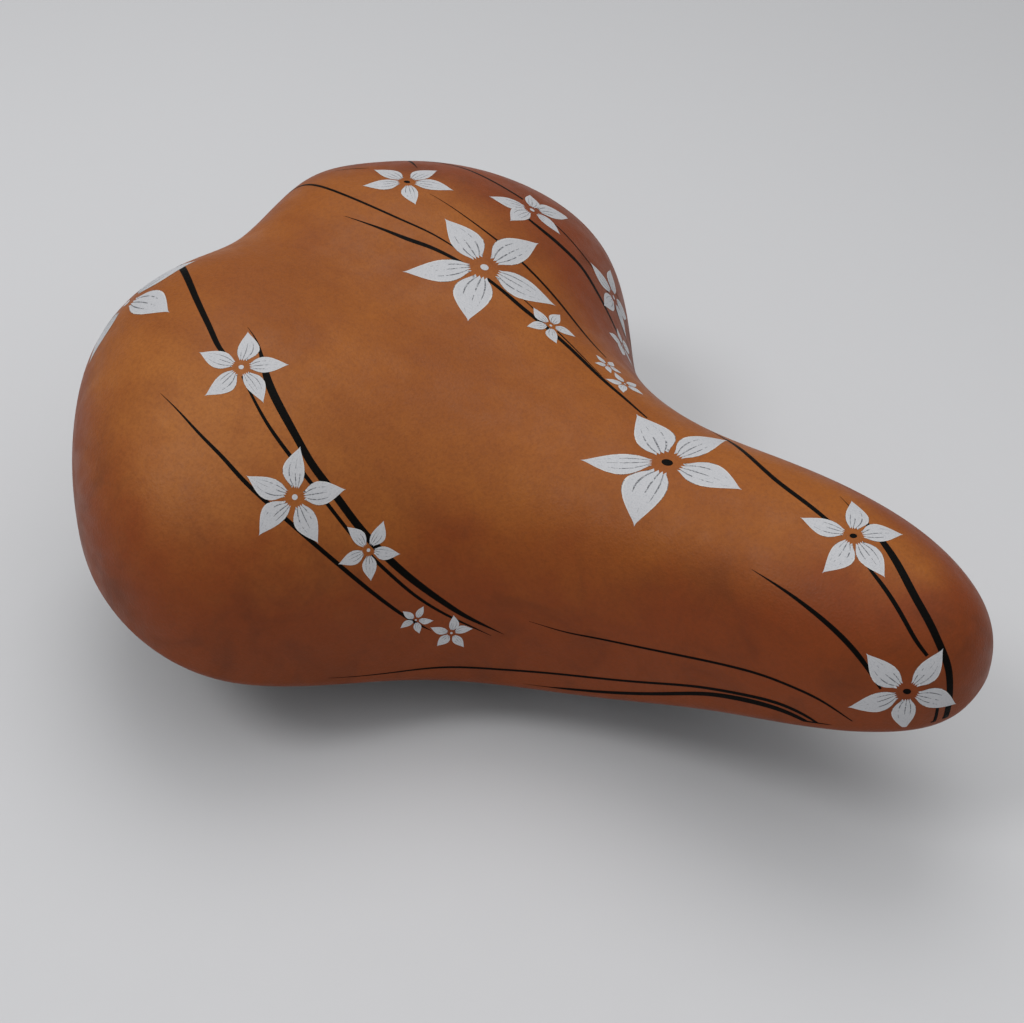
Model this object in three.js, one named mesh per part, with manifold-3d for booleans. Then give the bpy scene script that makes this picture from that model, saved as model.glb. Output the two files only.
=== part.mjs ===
// Sprung city saddle for a bicycle: a moulded cover over a foam pad on a plastic base shell. A wire rail
// frame carries the base at the nose, two coil springs carry it at the rear, and a clamp on the rails
// takes a seat post. Millimetres: +X to the nose, +Y to the rider's left, +Z up, lowest point at Z = 0.
import * as THREE from "three";
import { mergeVertices } from "three/addons/utils/BufferGeometryUtils.js";
import Module from "manifold-3d";

const wasm = await Module();
wasm.setup();

// ---------------------------------------------------------------- driving dimensions
const GAP = 0.3; // between pieces that rest on each other

const SADDLE_LENGTH = 268;
const SADDLE_WIDTH = 214;
const COVER_THICKNESS = 1.2;
const PAD_REAR = 30; // foam over the base at the rear edge
const PAD_NOSE = 18; // and at the nose tip
const PAD_EDGE = 3; // foam at the bottom of the skirt
const BASE_WALL = 2.5;
const LOBE_HEIGHT = 4; // the two seat lobes, over the plain crown
const LOBE_FROM_REAR = 53;
const LOBE_Y = 56;
const LOBE_REACH = 36; // how far a lobe spreads along the saddle
const LOBE_SPREAD = 30; // and across it
const VALLEY_DEPTH = 3; // the hollow between the lobes
const VALLEY_HALF = 20; // half its width, and how softly it ends
const VALLEY_END_X = 13;

const RAIL_DIAMETER = 7;
const RAIL_SPACING = 43; // centre to centre where the clamp grips
const RAIL_RISE_LENGTH = 84; // from the end of the straight stretch to the cross bar
const RAIL_NOSE_ROOM = 4; // between the wire and the cover's hem beside the cross bar
const BAR_SHARE = 0.4; // straight share of the cross bar in the nose; the rest is its two bends
const BAR_FROM_TIP = 36;
const BAR_DROP = 4; // cross bar under the springs' top face

const YOKE_THICKNESS = 3;
const YOKE_WEB = 24;
const YOKE_FLANGE = 5;
const SPRING_FROM_REAR = 54;
const SPRING_Y = 48;
const SPRING_DIAMETER = 34;
const SPRING_WIRE = 4.5;
const SPRING_HEIGHT = 38;
const SPRING_TURNS = 5;
const SPRING_END_PITCH = 5.2; // the first and last turn lie nearly flat
const CUP_THICKNESS = 1.5;
const CUP_RIM = 4;
const BOSS_DIAMETER = 22;

const BOLT_DIAMETER = 8;
const HEX_ACROSS_FLATS = 13;
const HEAD_HEIGHT = 5.3;
const NUT_HEIGHT = 6.5;
const WASHER_THICKNESS = 1.6;
const WASHER_DIAMETER = 16;
const BOLT_IN_BOSS = 16;
const SCREW_DIAMETER = 5;
const SCREW_HEAD = 3.4;
const SCREW_IN_BOSS = 5;
const SCREW_SPACING = 19;

const NOSE_BLOCK_LENGTH = 30;
const NOSE_BLOCK_RISE = 8; // block over the bar's centre
const KEEPER_DEPTH = 7.5; // keeper under the bar's centre

const POST_DIAMETER = 22.2;
const SLEEVE_WALL = 3.2;
const SLEEVE_BELOW_BOLT = 28;
const SLEEVE_ABOVE_BOLT = 10;
const SLEEVE_SLIT = 3;
const EAR_DIAMETER = 24;
const CLAMP_FORWARD = 6; // clamp ahead of the middle of the rails' straight stretch
const BOLT_OVER_RAIL = 13.5;
const JAW_LENGTH = 36;
const JAW_TOP = 16; // jaw over the bolt
const JAW_LIP = 3; // jaw under the rail
const JAW_SPLIT = 1; // open between the jaws, so that they can squeeze the rail
const OUTER_JAW_THICKNESS = 5;
const JAW_CORNER = 7;

// ---------------------------------------------------------------- heights that follow from them
const RAIL_R = RAIL_DIAMETER / 2;
const RAIL_Y = RAIL_SPACING / 2;
const RAIL_Z = JAW_LIP + RAIL_R;
const YOKE_Z = RAIL_Z + RAIL_R + GAP;
const CUP_Z = YOKE_Z + YOKE_THICKNESS + GAP;
const SPRING_Z = CUP_Z + CUP_THICKNESS + GAP;
const TOP_CUP_Z = SPRING_Z + SPRING_HEIGHT + GAP;
const SEAT_Z = TOP_CUP_Z + CUP_THICKNESS + GAP; // underside of the base's spring bosses
const SPRING_X = SPRING_FROM_REAR - SADDLE_LENGTH / 2;
const BAR_X = SADDLE_LENGTH / 2 - BAR_FROM_TIP;
const BAR_Z = SEAT_Z - BAR_DROP;
const RAIL_FRONT_X = BAR_X - RAIL_RISE_LENGTH;
const CLAMP_X = (SPRING_X + YOKE_WEB / 2 + RAIL_FRONT_X) / 2 + CLAMP_FORWARD;
const BOLT_Z = RAIL_Z + BOLT_OVER_RAIL;
const HOLE_R = BOLT_DIAMETER / 2 + GAP;
const SCREW_HOLE_R = SCREW_DIAMETER / 2 + GAP;

// ---------------------------------------------------------------- the saddle's outline
// Half ribs from the rear centre round the left side to the nose tip. Each has the rim's place in plan,
// the rim's height over SEAT_Z and where the rib's foot stands on the centre line.
const RIBS = [
  { x: -127.5, y: 0, rim: -2, foot: -77 },
  { x: -138, y: 46.5, rim: 1.5, foot: -77 },
  { x: -126.5, y: 71, rim: -6.5, foot: -75 },
  { x: -87, y: 108.5, rim: -6.5, foot: -70 },
  { x: -39, y: 109.5, rim: -19.5, foot: -63 },
  { x: -10, y: 56, rim: -33, foot: -47 },
  { x: 35, y: 37.5, rim: -32, foot: 5 },
  { x: 71, y: 34.5, rim: -14, foot: 59 },
  { x: 106, y: 32, rim: -3.5, foot: 91 },
  { x: 131.5, y: 16, rim: -1, foot: 106 },
  { x: 134.5, y: 0, rim: 3.5, foot: 109 },
];
// The crown's height over SEAT_Z on the centre line, evenly spaced from the rear to the nose.
const CROWN = [55, 52.5, 47, 42.5, 35, 31.5, 37, 34, 28];
const REAR_POWER = 2.7; // superellipse power of a rib's section, squarer at the rear
const NOSE_POWER = 2.4;
const HALF_SIDES = 20; // facets from the rear centre to the nose tip
// Degrees from the centre line to the rim; the cover's hem runs from the last up to the one before it.
const RIB_ANGLES = [0, 12, 25, 38, 50, 62, 73, 83, 90];

// Uniform cubic B-spline through evenly spaced control values; `at(i)` gives the i-th one.
function bspline(at, u) {
  const i = Math.floor(u);
  const f = u - i;
  const weights = [
    (1 - f) ** 3,
    3 * f ** 3 - 6 * f ** 2 + 4,
    -3 * f ** 3 + 3 * f ** 2 + 3 * f + 1,
    f ** 3,
  ];
  return weights.reduce((sum, w, k) => sum + (w * at(i - 1 + k)) / 6, 0);
}

// A rib's value at t, with the ribs mirrored past the rear centre and the nose tip.
function ribValue(key, t) {
  const last = RIBS.length - 1;
  return bspline((i) => {
    const turn = ((i % (2 * last)) + 2 * last) % (2 * last);
    const rib = RIBS[turn <= last ? turn : 2 * last - turn];
    return key === "y" && turn > last ? -rib.y : rib[key];
  }, t);
}

// The half outline, scaled to the saddle's length and width, with the plan's outward normals.
function outline() {
  const stations = Array.from({ length: HALF_SIDES + 1 }, (_, i) => (i * (RIBS.length - 1)) / HALF_SIDES);
  const xs = stations.map((t) => ribValue("x", t));
  const ys = stations.map((t) => ribValue("y", t));
  const rear = Math.min(...xs);
  const scaleX = SADDLE_LENGTH / (Math.max(...xs) - rear);
  const scaleY = SADDLE_WIDTH / 2 / Math.max(...ys);
  const place = (t) => ({
    x: (ribValue("x", t) - rear) * scaleX - SADDLE_LENGTH / 2,
    y: ribValue("y", t) * scaleY,
  });
  return stations.map((t) => {
    const before = place(t - 0.01);
    const after = place(t + 0.01);
    const run = Math.hypot(after.x - before.x, after.y - before.y);
    return {
      ...place(t),
      rim: SEAT_Z + ribValue("rim", t),
      foot: (ribValue("foot", t) - rear) * scaleX - SADDLE_LENGTH / 2,
      power: THREE.MathUtils.lerp(REAR_POWER, NOSE_POWER, THREE.MathUtils.clamp((t - 4) / 3, 0, 1)),
      nx: -(after.y - before.y) / run,
      ny: (after.x - before.x) / run,
    };
  });
}
const OUTLINE = outline();

function crown(x, y) {
  const last = CROWN.length - 1;
  const at = (i) => {
    if (i < 0) return 2 * CROWN[0] - CROWN[1];
    return i > last ? 2 * CROWN[last] - CROWN[last - 1] : CROWN[i];
  };
  const u = THREE.MathUtils.clamp(last * (x / SADDLE_LENGTH + 0.5), 0, last - 1e-6);
  const lobeX = (x + SADDLE_LENGTH / 2 - LOBE_FROM_REAR) / LOBE_REACH;
  const lobeY = (Math.abs(y) - LOBE_Y) / LOBE_SPREAD;
  const lobe = LOBE_HEIGHT * Math.exp(-(lobeX ** 2) - lobeY ** 2);
  const fade = 1 + Math.exp((x - VALLEY_END_X) / VALLEY_HALF);
  const valley = (VALLEY_DEPTH * Math.exp(-((y / VALLEY_HALF) ** 2))) / fade;
  return SEAT_Z + bspline(at, u) + lobe - valley;
}

const padDepth = (x) => THREE.MathUtils.lerp(PAD_REAR, PAD_NOSE, x / SADDLE_LENGTH + 0.5);

// ---------------------------------------------------------------- rings and lofts
// A ring goes once round the saddle; `place` gives the left half's points, and the right is mirrored.
function ring(place) {
  const left = OUTLINE.map(place);
  const right = left.slice(1, -1).reverse();
  return [...left, ...right.map((p) => new THREE.Vector3(p.x, -p.y, p.z))];
}

// The rings of a skin that lies `inset` inside the rim and `drop(x)` under the crown, centre line first.
function skinRings(inset, drop) {
  return RIB_ANGLES.map((degrees) => {
    const angle = THREE.MathUtils.degToRad(degrees);
    return ring((s) => {
      const out = degrees === 90 ? 1 : Math.sin(angle) ** (2 / s.power);
      const up = degrees === 90 ? 0 : Math.cos(angle) ** (2 / s.power);
      const x = s.foot * (1 - out) + (s.x - inset * s.nx) * out;
      const y = (s.y - inset * s.ny) * out;
      return new THREE.Vector3(x, y, s.rim + (crown(x, y) - drop(x) - s.rim) * up);
    });
  });
}

const rimRing = (inset, rise) =>
  ring((s) => new THREE.Vector3(s.x - inset * s.nx, s.y - inset * s.ny, s.rim + rise));

const widthOf = (points) => Math.max(...points.map((p) => p.y));

// Joins rings that start and end on the centre line into one closed surface. A facet's diagonal always
// leans the same way over the saddle, so that nested skins keep their distance.
function loft(rings) {
  const count = rings[0].length;
  const index = [];
  for (let k = 0; k + 1 < rings.length; k++) {
    const outward = widthOf(rings[k + 1]) > widthOf(rings[k]);
    for (let i = 0; i < count; i++) {
      const a = k * count + i;
      const b = k * count + ((i + 1) % count);
      const [c, d] = [a + count, b + count];
      if (outward === i < HALF_SIDES) index.push(a, b, c, b, d, c);
      else index.push(a, b, d, a, d, c);
    }
  }
  const geometry = new THREE.BufferGeometry().setFromPoints(rings.flat());
  return withoutSlivers(geometry.setIndex(index));
}

// Merges vertices that meet and leaves out the triangles that close up when they do.
function withoutSlivers(geometry) {
  const merged = mergeVertices(geometry, 1e-3);
  const kept = [];
  for (let i = 0; i < merged.index.count; i += 3) {
    const [a, b, c] = [0, 1, 2].map((k) => merged.index.getX(i + k));
    if (a !== b && b !== c && c !== a) kept.push(a, b, c);
  }
  return merged.setIndex(kept);
}

// ---------------------------------------------------------------- solids
function solid(geometry) {
  const bare = geometry.clone().deleteAttribute("normal").deleteAttribute("uv");
  const merged = withoutSlivers(bare);
  const vertProperties = new Float32Array(merged.attributes.position.array);
  const triVerts = new Uint32Array(merged.index.array);
  return new wasm.Manifold(new wasm.Mesh({ numProp: 3, vertProperties, triVerts }));
}

function geometryOf(body) {
  const { vertProperties, triVerts } = body.getMesh();
  const geometry = new THREE.BufferGeometry();
  geometry.setAttribute("position", new THREE.BufferAttribute(vertProperties, 3));
  return geometry.setIndex(new THREE.BufferAttribute(triVerts, 1));
}

const joined = (first, ...others) => others.reduce((body, other) => body.add(other), first);
const cut = (body, ...tools) => tools.reduce((left, tool) => left.subtract(tool), body);

// A cylinder from one point to another along X, Y or Z.
function rod(from, to, radius, sides = 20) {
  const start = new THREE.Vector3(...from);
  const along = new THREE.Vector3(...to).sub(start);
  const geometry = new THREE.CylinderGeometry(radius, radius, along.length(), sides);
  const turn = new THREE.Quaternion().setFromUnitVectors(
    new THREE.Vector3(0, 1, 0),
    along.clone().normalize(),
  );
  geometry.applyQuaternion(turn).translate(...start.addScaledVector(along, 0.5));
  return solid(geometry);
}

function block(low, high) {
  const size = high.map((v, k) => v - low[k]);
  const middle = high.map((v, k) => (v + low[k]) / 2);
  return solid(new THREE.BoxGeometry(...size).translate(...middle));
}

// A hexagonal prism that stands along Z, from z0 to z1.
function hexagon(x, y, z0, z1) {
  const radius = HEX_ACROSS_FLATS / Math.sqrt(3);
  const geometry = new THREE.CylinderGeometry(radius, radius, z1 - z0, 6);
  return solid(geometry.rotateX(Math.PI / 2).translate(x, y, (z0 + z1) / 2));
}

function washer(x, y, z) {
  const top = z + WASHER_THICKNESS;
  const body = rod([x, y, z], [x, y, top], WASHER_DIAMETER / 2, 16);
  return cut(body, rod([x, y, z - 1], [x, y, top + 1], HOLE_R, 16));
}

function hexNut(x, y, z) {
  const top = z + NUT_HEIGHT;
  return cut(hexagon(x, y, z, top), rod([x, y, z - 1], [x, y, top + 1], HOLE_R, 16));
}

// Turns a body that stands on the Z axis so that it lies along Y, its upper end towards +Y.
const layAlongY = (body) => body.rotate([-90, 0, 0]);

function wire(route, diameter, steps, sides) {
  const corners = Array.from({ length: sides }, (_, i) => {
    const angle = ((i + 0.5) * 2 * Math.PI) / sides;
    return new THREE.Vector2(Math.cos(angle), Math.sin(angle)).multiplyScalar(diameter / 2);
  });
  const options = { steps, bevelEnabled: false, extrudePath: route };
  return new THREE.ExtrudeGeometry(new THREE.Shape(corners), options);
}

// ---------------------------------------------------------------- cover, pad and base
const PAD_INSET = COVER_THICKNESS + GAP;
const BASE_INSET = PAD_INSET + PAD_EDGE + GAP;
const HEM_INSET = BASE_INSET + BASE_WALL + GAP;
const ROLL_R = (HEM_INSET + COVER_THICKNESS) / 2; // the cover's round turn under the skirt
const baseDrop = (x) => PAD_INSET + padDepth(x) + GAP;

// The cover's round turn under the skirt, at one radius, from the outside to the inside.
function rollRings(radius) {
  return [36, 72, 108, 144].map((degrees) => {
    const angle = THREE.MathUtils.degToRad(degrees);
    return rimRing(ROLL_R - radius * Math.cos(angle), -radius * Math.sin(angle));
  });
}

function coverGeometry() {
  const hem = (depth) =>
    skinRings(HEM_INSET + depth, (x) => baseDrop(x) + BASE_WALL + GAP + depth).slice(-2);
  return loft([
    ...skinRings(0, () => 0),
    ...rollRings(ROLL_R),
    ...hem(COVER_THICKNESS).reverse(),
    ...hem(0),
    ...rollRings(ROLL_R - COVER_THICKNESS).reverse(),
    ...skinRings(COVER_THICKNESS, () => COVER_THICKNESS).reverse(),
  ]);
}

function padGeometry() {
  const under = (x) => PAD_INSET + padDepth(x);
  return loft([
    ...skinRings(PAD_INSET, () => PAD_INSET),
    ...skinRings(PAD_INSET + PAD_EDGE, under).reverse(),
  ]);
}

// Everything under the base's outer skin, down to the rim.
function baseDome() {
  const floor = ring((s) => new THREE.Vector3(s.foot, 0, s.rim));
  return solid(loft([...skinRings(BASE_INSET, baseDrop), floor]));
}

function baseGeometry() {
  const inner = skinRings(BASE_INSET + BASE_WALL, (x) => baseDrop(x) + BASE_WALL);
  const shell = solid(loft([...skinRings(BASE_INSET, baseDrop), ...inner.reverse()]));
  const high = SEAT_Z + 80;
  const dome = baseDome();
  const bosses = [-1, 1].map((side) => {
    const y = side * SPRING_Y;
    return dome.intersect(rod([SPRING_X, y, SEAT_Z], [SPRING_X, y, high], BOSS_DIAMETER / 2));
  });
  const pad = block(
    [BAR_X - NOSE_BLOCK_LENGTH / 2, -BAR_HALF - 2, BAR_Z + NOSE_BLOCK_RISE + GAP],
    [BAR_X + NOSE_BLOCK_LENGTH / 2, BAR_HALF + 2, high],
  );
  const boltHoles = [-1, 1].map((side) => {
    const y = side * SPRING_Y;
    return rod([SPRING_X, y, SEAT_Z - 1], [SPRING_X, y, SEAT_Z + BOLT_IN_BOSS + GAP], HOLE_R, 16);
  });
  const screwTop = BAR_Z + NOSE_BLOCK_RISE + GAP + SCREW_IN_BOSS + GAP;
  const screwHoles = screwPlaces().map((x) => rod([x, 0, BAR_Z], [x, 0, screwTop], SCREW_HOLE_R, 12));
  const whole = joined(shell, ...bosses, dome.intersect(pad));
  return geometryOf(cut(whole, ...boltHoles, ...screwHoles));
}

// ---------------------------------------------------------------- nose bearing
const screwPlaces = () => [BAR_X - SCREW_SPACING / 2, BAR_X + SCREW_SPACING / 2];
const barBore = () => {
  const reach = BAR_HALF + 5;
  return rod([BAR_X, -reach, BAR_Z], [BAR_X, reach, BAR_Z], RAIL_R + GAP);
};

function nosePiece(z0, z1) {
  const half = NOSE_BLOCK_LENGTH / 2;
  const body = block([BAR_X - half, -BAR_HALF, z0], [BAR_X + half, BAR_HALF, z1]);
  const holes = screwPlaces().map((x) => rod([x, 0, z0 - 1], [x, 0, z1 + 1], SCREW_HOLE_R, 12));
  return geometryOf(cut(body, barBore(), ...holes));
}

function screwGeometry(x) {
  const head = BAR_Z - KEEPER_DEPTH - GAP;
  const tip = BAR_Z + NOSE_BLOCK_RISE + GAP + SCREW_IN_BOSS;
  const cap = rod([x, 0, head - SCREW_HEAD], [x, 0, head], SCREW_DIAMETER * 0.9, 16);
  return geometryOf(cap.add(rod([x, 0, head - 1], [x, 0, tip], SCREW_DIAMETER / 2, 12)));
}

// ---------------------------------------------------------------- rail frame and yoke
// Half of the room between the cover's hems where the nose's cross bar runs.
function noseRoom() {
  const ahead = OUTLINE.findLastIndex((s) => s.x < BAR_X);
  const [from, to] = [OUTLINE[ahead], OUTLINE[ahead + 1]];
  const rim = THREE.MathUtils.mapLinear(BAR_X, from.x, to.x, from.y, to.y);
  return rim - HEM_INSET - COVER_THICKNESS;
}
const RAIL_NOSE_Y = noseRoom() - RAIL_NOSE_ROOM - RAIL_R;
const BAR_HALF = BAR_SHARE * RAIL_NOSE_Y;
const BAR_CORNER = RAIL_NOSE_Y - BAR_HALF; // bend radius at each end of the bar

// One wire: both straight rails, the rise to the nose and the cross bar, as a mirrored route.
function railRoute() {
  const v = (x, y, z) => new THREE.Vector3(x, y, z);
  const start = v(SPRING_X - YOKE_WEB / 2 - 4, RAIL_Y, RAIL_Z);
  const bend = v(RAIL_FRONT_X, RAIL_Y, RAIL_Z);
  const corner = v(BAR_X, BAR_HALF + BAR_CORNER, BAR_Z);
  const slope = v(-0.77, 0, -0.64);
  const rise = corner.clone().addScaledVector(slope, BAR_CORNER);
  const steer = rise.clone().addScaledVector(slope, 30).setY(corner.y + 2);
  const left = [
    [start, bend],
    [bend, v(RAIL_FRONT_X + 18, RAIL_Y, RAIL_Z), steer, rise],
    [rise, corner, v(BAR_X, BAR_HALF, BAR_Z)],
  ];
  const mirrored = (points) => points.map((p) => v(p.x, -p.y, p.z)).reverse();
  const bar = [v(BAR_X, BAR_HALF, BAR_Z), v(BAR_X, -BAR_HALF, BAR_Z)];
  const kinds = { 2: THREE.LineCurve3, 3: THREE.QuadraticBezierCurve3, 4: THREE.CubicBezierCurve3 };
  const route = new THREE.CurvePath();
  [...left, bar, ...left.map(mirrored).reverse()].forEach((p) => route.add(new kinds[p.length](...p)));
  return route;
}

// The stamped cross plate under the springs, with its edges turned up between them.
function yokeGeometry() {
  const top = YOKE_Z + YOKE_THICKNESS;
  const half = YOKE_WEB / 2;
  const sides = [-1, 1];
  const ends = sides.map((side) => {
    const y = side * SPRING_Y;
    return rod([SPRING_X, y, YOKE_Z], [SPRING_X, y, top], SPRING_DIAMETER / 2 + 2, 32);
  });
  const reach = SPRING_Y - SPRING_DIAMETER / 2 - CUP_THICKNESS - 2 - GAP;
  const flanges = sides.map((side) => {
    const edge = [SPRING_X + side * half, SPRING_X + side * (half - 2)].sort((a, b) => a - b);
    return block([edge[0], -reach, YOKE_Z], [edge[1], reach, top + YOKE_FLANGE]);
  });
  const web = block([SPRING_X - half, -SPRING_Y, YOKE_Z], [SPRING_X + half, SPRING_Y, top]);
  const holes = sides.map((side) => {
    const y = side * SPRING_Y;
    return rod([SPRING_X, y, YOKE_Z - 1], [SPRING_X, y, top + 1], HOLE_R, 16);
  });
  return geometryOf(cut(joined(web, ...ends, ...flanges), ...holes));
}

// ---------------------------------------------------------------- springs
class Coil extends THREE.Curve {
  getPoint(t, target = new THREE.Vector3()) {
    const turn = t * SPRING_TURNS;
    const radius = (SPRING_DIAMETER - SPRING_WIRE) / 2;
    const angle = turn * 2 * Math.PI;
    return target.set(radius * Math.cos(angle), radius * Math.sin(angle), this.height(turn));
  }

  // One nearly flat turn at each end, and an even pitch between them.
  height(turn) {
    const rise = SPRING_HEIGHT - SPRING_WIRE;
    const open = (rise - 2 * SPRING_END_PITCH) / (SPRING_TURNS - 2);
    if (turn < 1) return SPRING_WIRE / 2 + turn * SPRING_END_PITCH;
    const middle = Math.min(turn - 1, SPRING_TURNS - 2) * open;
    const end = Math.max(turn - (SPRING_TURNS - 1), 0) * SPRING_END_PITCH;
    return SPRING_WIRE / 2 + SPRING_END_PITCH + middle + end;
  }
}

const springGeometry = () => wire(new Coil(), SPRING_WIRE, Math.round(SPRING_TURNS * 14), 6);

// A pressed cup that the spring stands in: a disc with a rim round the coil and a bolt hole.
function cupGeometry() {
  const outer = SPRING_DIAMETER / 2 + GAP + CUP_THICKNESS;
  const high = CUP_THICKNESS + CUP_RIM;
  const profile = [
    [HOLE_R, 0],
    [outer - 1, 0],
    [outer, 1],
    [outer, high],
    [outer - CUP_THICKNESS, high],
    [outer - CUP_THICKNESS, CUP_THICKNESS],
    [HOLE_R, CUP_THICKNESS],
    [HOLE_R, 0],
  ].map(([r, z]) => new THREE.Vector2(r, z));
  return new THREE.LatheGeometry(profile, 24).rotateX(Math.PI / 2);
}

// The bolt that holds a bottom cup to the yoke: head in the coil, thread end at Z = 0.
function lowerBoltGeometry() {
  const seat = CUP_Z + CUP_THICKNESS + GAP;
  const shank = rod([0, 0, 0], [0, 0, seat + 1], BOLT_DIAMETER / 2, 16);
  return geometryOf(hexagon(0, 0, seat, seat + HEAD_HEIGHT).add(shank));
}

// The bolt that holds a top cup to the base: head in the coil, thread up in the boss.
function upperBoltGeometry() {
  const seat = TOP_CUP_Z - GAP;
  const shank = rod([0, 0, seat - 1], [0, 0, SEAT_Z + BOLT_IN_BOSS], BOLT_DIAMETER / 2, 16);
  return geometryOf(hexagon(0, 0, seat - HEAD_HEIGHT, seat).add(shank));
}

// ---------------------------------------------------------------- seat post clamp, round its bolt
const SLEEVE_R = POST_DIAMETER / 2 + SLEEVE_WALL;
const EAR_Y = SLEEVE_R + GAP;
const INNER_JAW_Y = EAR_Y + GAP;
const OUTER_JAW_Y = RAIL_Y + JAW_SPLIT / 2;
const WASHER_Y = OUTER_JAW_Y + OUTER_JAW_THICKNESS + GAP;
const NUT_Y = WASHER_Y + WASHER_THICKNESS + GAP;
const BOLT_END_Y = NUT_Y + NUT_HEIGHT + 1;

// The split band for the post, drawn with the post upright and its mouth downwards.
function sleeveGeometry() {
  const bore = POST_DIAMETER / 2 + 0.1;
  const tube = rod([0, 0, -SLEEVE_BELOW_BOLT], [0, 0, SLEEVE_ABOVE_BOLT], SLEEVE_R, 32);
  const ears = rod([0, -EAR_Y, 0], [0, EAR_Y, 0], EAR_DIAMETER / 2, 24);
  const post = rod([0, 0, -SLEEVE_BELOW_BOLT - 1], [0, 0, EAR_DIAMETER], bore, 32);
  const hole = rod([0, -EAR_Y - 1, 0], [0, EAR_Y + 1, 0], HOLE_R, 16);
  const slit = block(
    [0, -SLEEVE_SLIT / 2, -SLEEVE_BELOW_BOLT - 1],
    [SLEEVE_R + 1, SLEEVE_SLIT / 2, EAR_DIAMETER],
  );
  return geometryOf(cut(tube.add(ears), post, hole, slit));
}

// One jaw plate on the left of the bolt, with its half of the rail's groove.
function jawGeometry(y0, y1, lift) {
  const half = JAW_LENGTH / 2;
  const low = -BOLT_OVER_RAIL - RAIL_R - JAW_LIP + lift;
  const c = JAW_CORNER;
  const shape = new THREE.Shape();
  shape.moveTo(-half + 2, low);
  shape.lineTo(half - 2, low);
  shape.lineTo(half, low + 2);
  shape.lineTo(half, JAW_TOP - c);
  shape.absarc(half - c, JAW_TOP - c, c, 0, Math.PI / 2);
  shape.absarc(-half + c, JAW_TOP - c, c, Math.PI / 2, Math.PI);
  shape.lineTo(-half, low + 2);
  const depth = y1 - y0;
  const plate = new THREE.ExtrudeGeometry(shape, { depth, bevelEnabled: false, curveSegments: 4 });
  const body = solid(plate.rotateX(Math.PI / 2).translate(0, y1, 0));
  const rail = -BOLT_OVER_RAIL;
  const groove = rod([-half - 1, RAIL_Y, rail], [half + 1, RAIL_Y, rail], RAIL_R + GAP, 16);
  const hole = rod([0, y0 - 1, 0], [0, y1 + 1, 0], HOLE_R, 16);
  return geometryOf(cut(body, groove, hole));
}

// ---------------------------------------------------------------- materials
const material = (color, roughness, metalness) =>
  new THREE.MeshStandardMaterial({ color, roughness, metalness });
const LEATHER = () => material(0x6b3a1e, 0.5, 0);
const FOAM = () => material(0xd8c47a, 0.95, 0);
const BLACK_PLASTIC = () => material(0x161616, 0.55, 0);
const CHROME = () => material(0xc8c8ca, 0.15, 1);
const ZINC = () => material(0x9a9da0, 0.4, 1);
const BLACK_STEEL = () => material(0x1c1c1e, 0.4, 0.6);

function part(name, geometry, finish) {
  const mesh = new THREE.Mesh(geometry, finish);
  mesh.name = name;
  return mesh;
}

// ---------------------------------------------------------------- assembly
function seat() {
  const group = new THREE.Group();
  group.add(part("cover", coverGeometry(), LEATHER()));
  group.add(part("foam_pad", padGeometry(), FOAM()));
  group.add(part("base_shell", baseGeometry(), BLACK_PLASTIC()));
  const split = GAP / 2;
  group.add(part("nose_block", nosePiece(BAR_Z + split, BAR_Z + NOSE_BLOCK_RISE), BLACK_PLASTIC()));
  group.add(part("nose_keeper", nosePiece(BAR_Z - KEEPER_DEPTH, BAR_Z - split), ZINC()));
  const [rear, front] = screwPlaces();
  group.add(part("nose_screw_rear", screwGeometry(rear), ZINC()));
  group.add(part("nose_screw_front", screwGeometry(front), ZINC()));
  return group;
}

function springUnit(side, label) {
  const group = new THREE.Group();
  group.position.set(SPRING_X, side * SPRING_Y, 0);
  const spring = part(`spring_${label}`, springGeometry(), CHROME());
  spring.position.z = SPRING_Z;
  const lowerCup = part(`spring_cup_lower_${label}`, cupGeometry(), BLACK_STEEL());
  lowerCup.position.z = CUP_Z;
  const upperCup = part(`spring_cup_upper_${label}`, cupGeometry(), BLACK_STEEL());
  upperCup.rotation.x = Math.PI;
  upperCup.position.z = TOP_CUP_Z + CUP_THICKNESS;
  const washerZ = YOKE_Z - GAP - WASHER_THICKNESS;
  group.add(
    spring,
    lowerCup,
    upperCup,
    part(`spring_bolt_lower_${label}`, lowerBoltGeometry(), ZINC()),
    part(`spring_washer_${label}`, geometryOf(washer(0, 0, washerZ)), ZINC()),
    part(`spring_nut_${label}`, geometryOf(hexNut(0, 0, washerZ - GAP - NUT_HEIGHT)), ZINC()),
    part(`spring_bolt_upper_${label}`, upperBoltGeometry(), ZINC()),
  );
  return group;
}

function clampSide(side, label) {
  const group = new THREE.Group();
  if (side < 0) group.rotation.z = Math.PI;
  const inner = jawGeometry(INNER_JAW_Y, RAIL_Y - JAW_SPLIT / 2, 0.5);
  const outer = jawGeometry(OUTER_JAW_Y, OUTER_JAW_Y + OUTER_JAW_THICKNESS, 0);
  group.add(part(`clamp_jaw_inner_${label}`, inner, BLACK_STEEL()));
  group.add(part(`clamp_jaw_outer_${label}`, outer, BLACK_STEEL()));
  group.add(part(`clamp_washer_${label}`, geometryOf(layAlongY(washer(0, 0, WASHER_Y))), ZINC()));
  return group;
}

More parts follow.
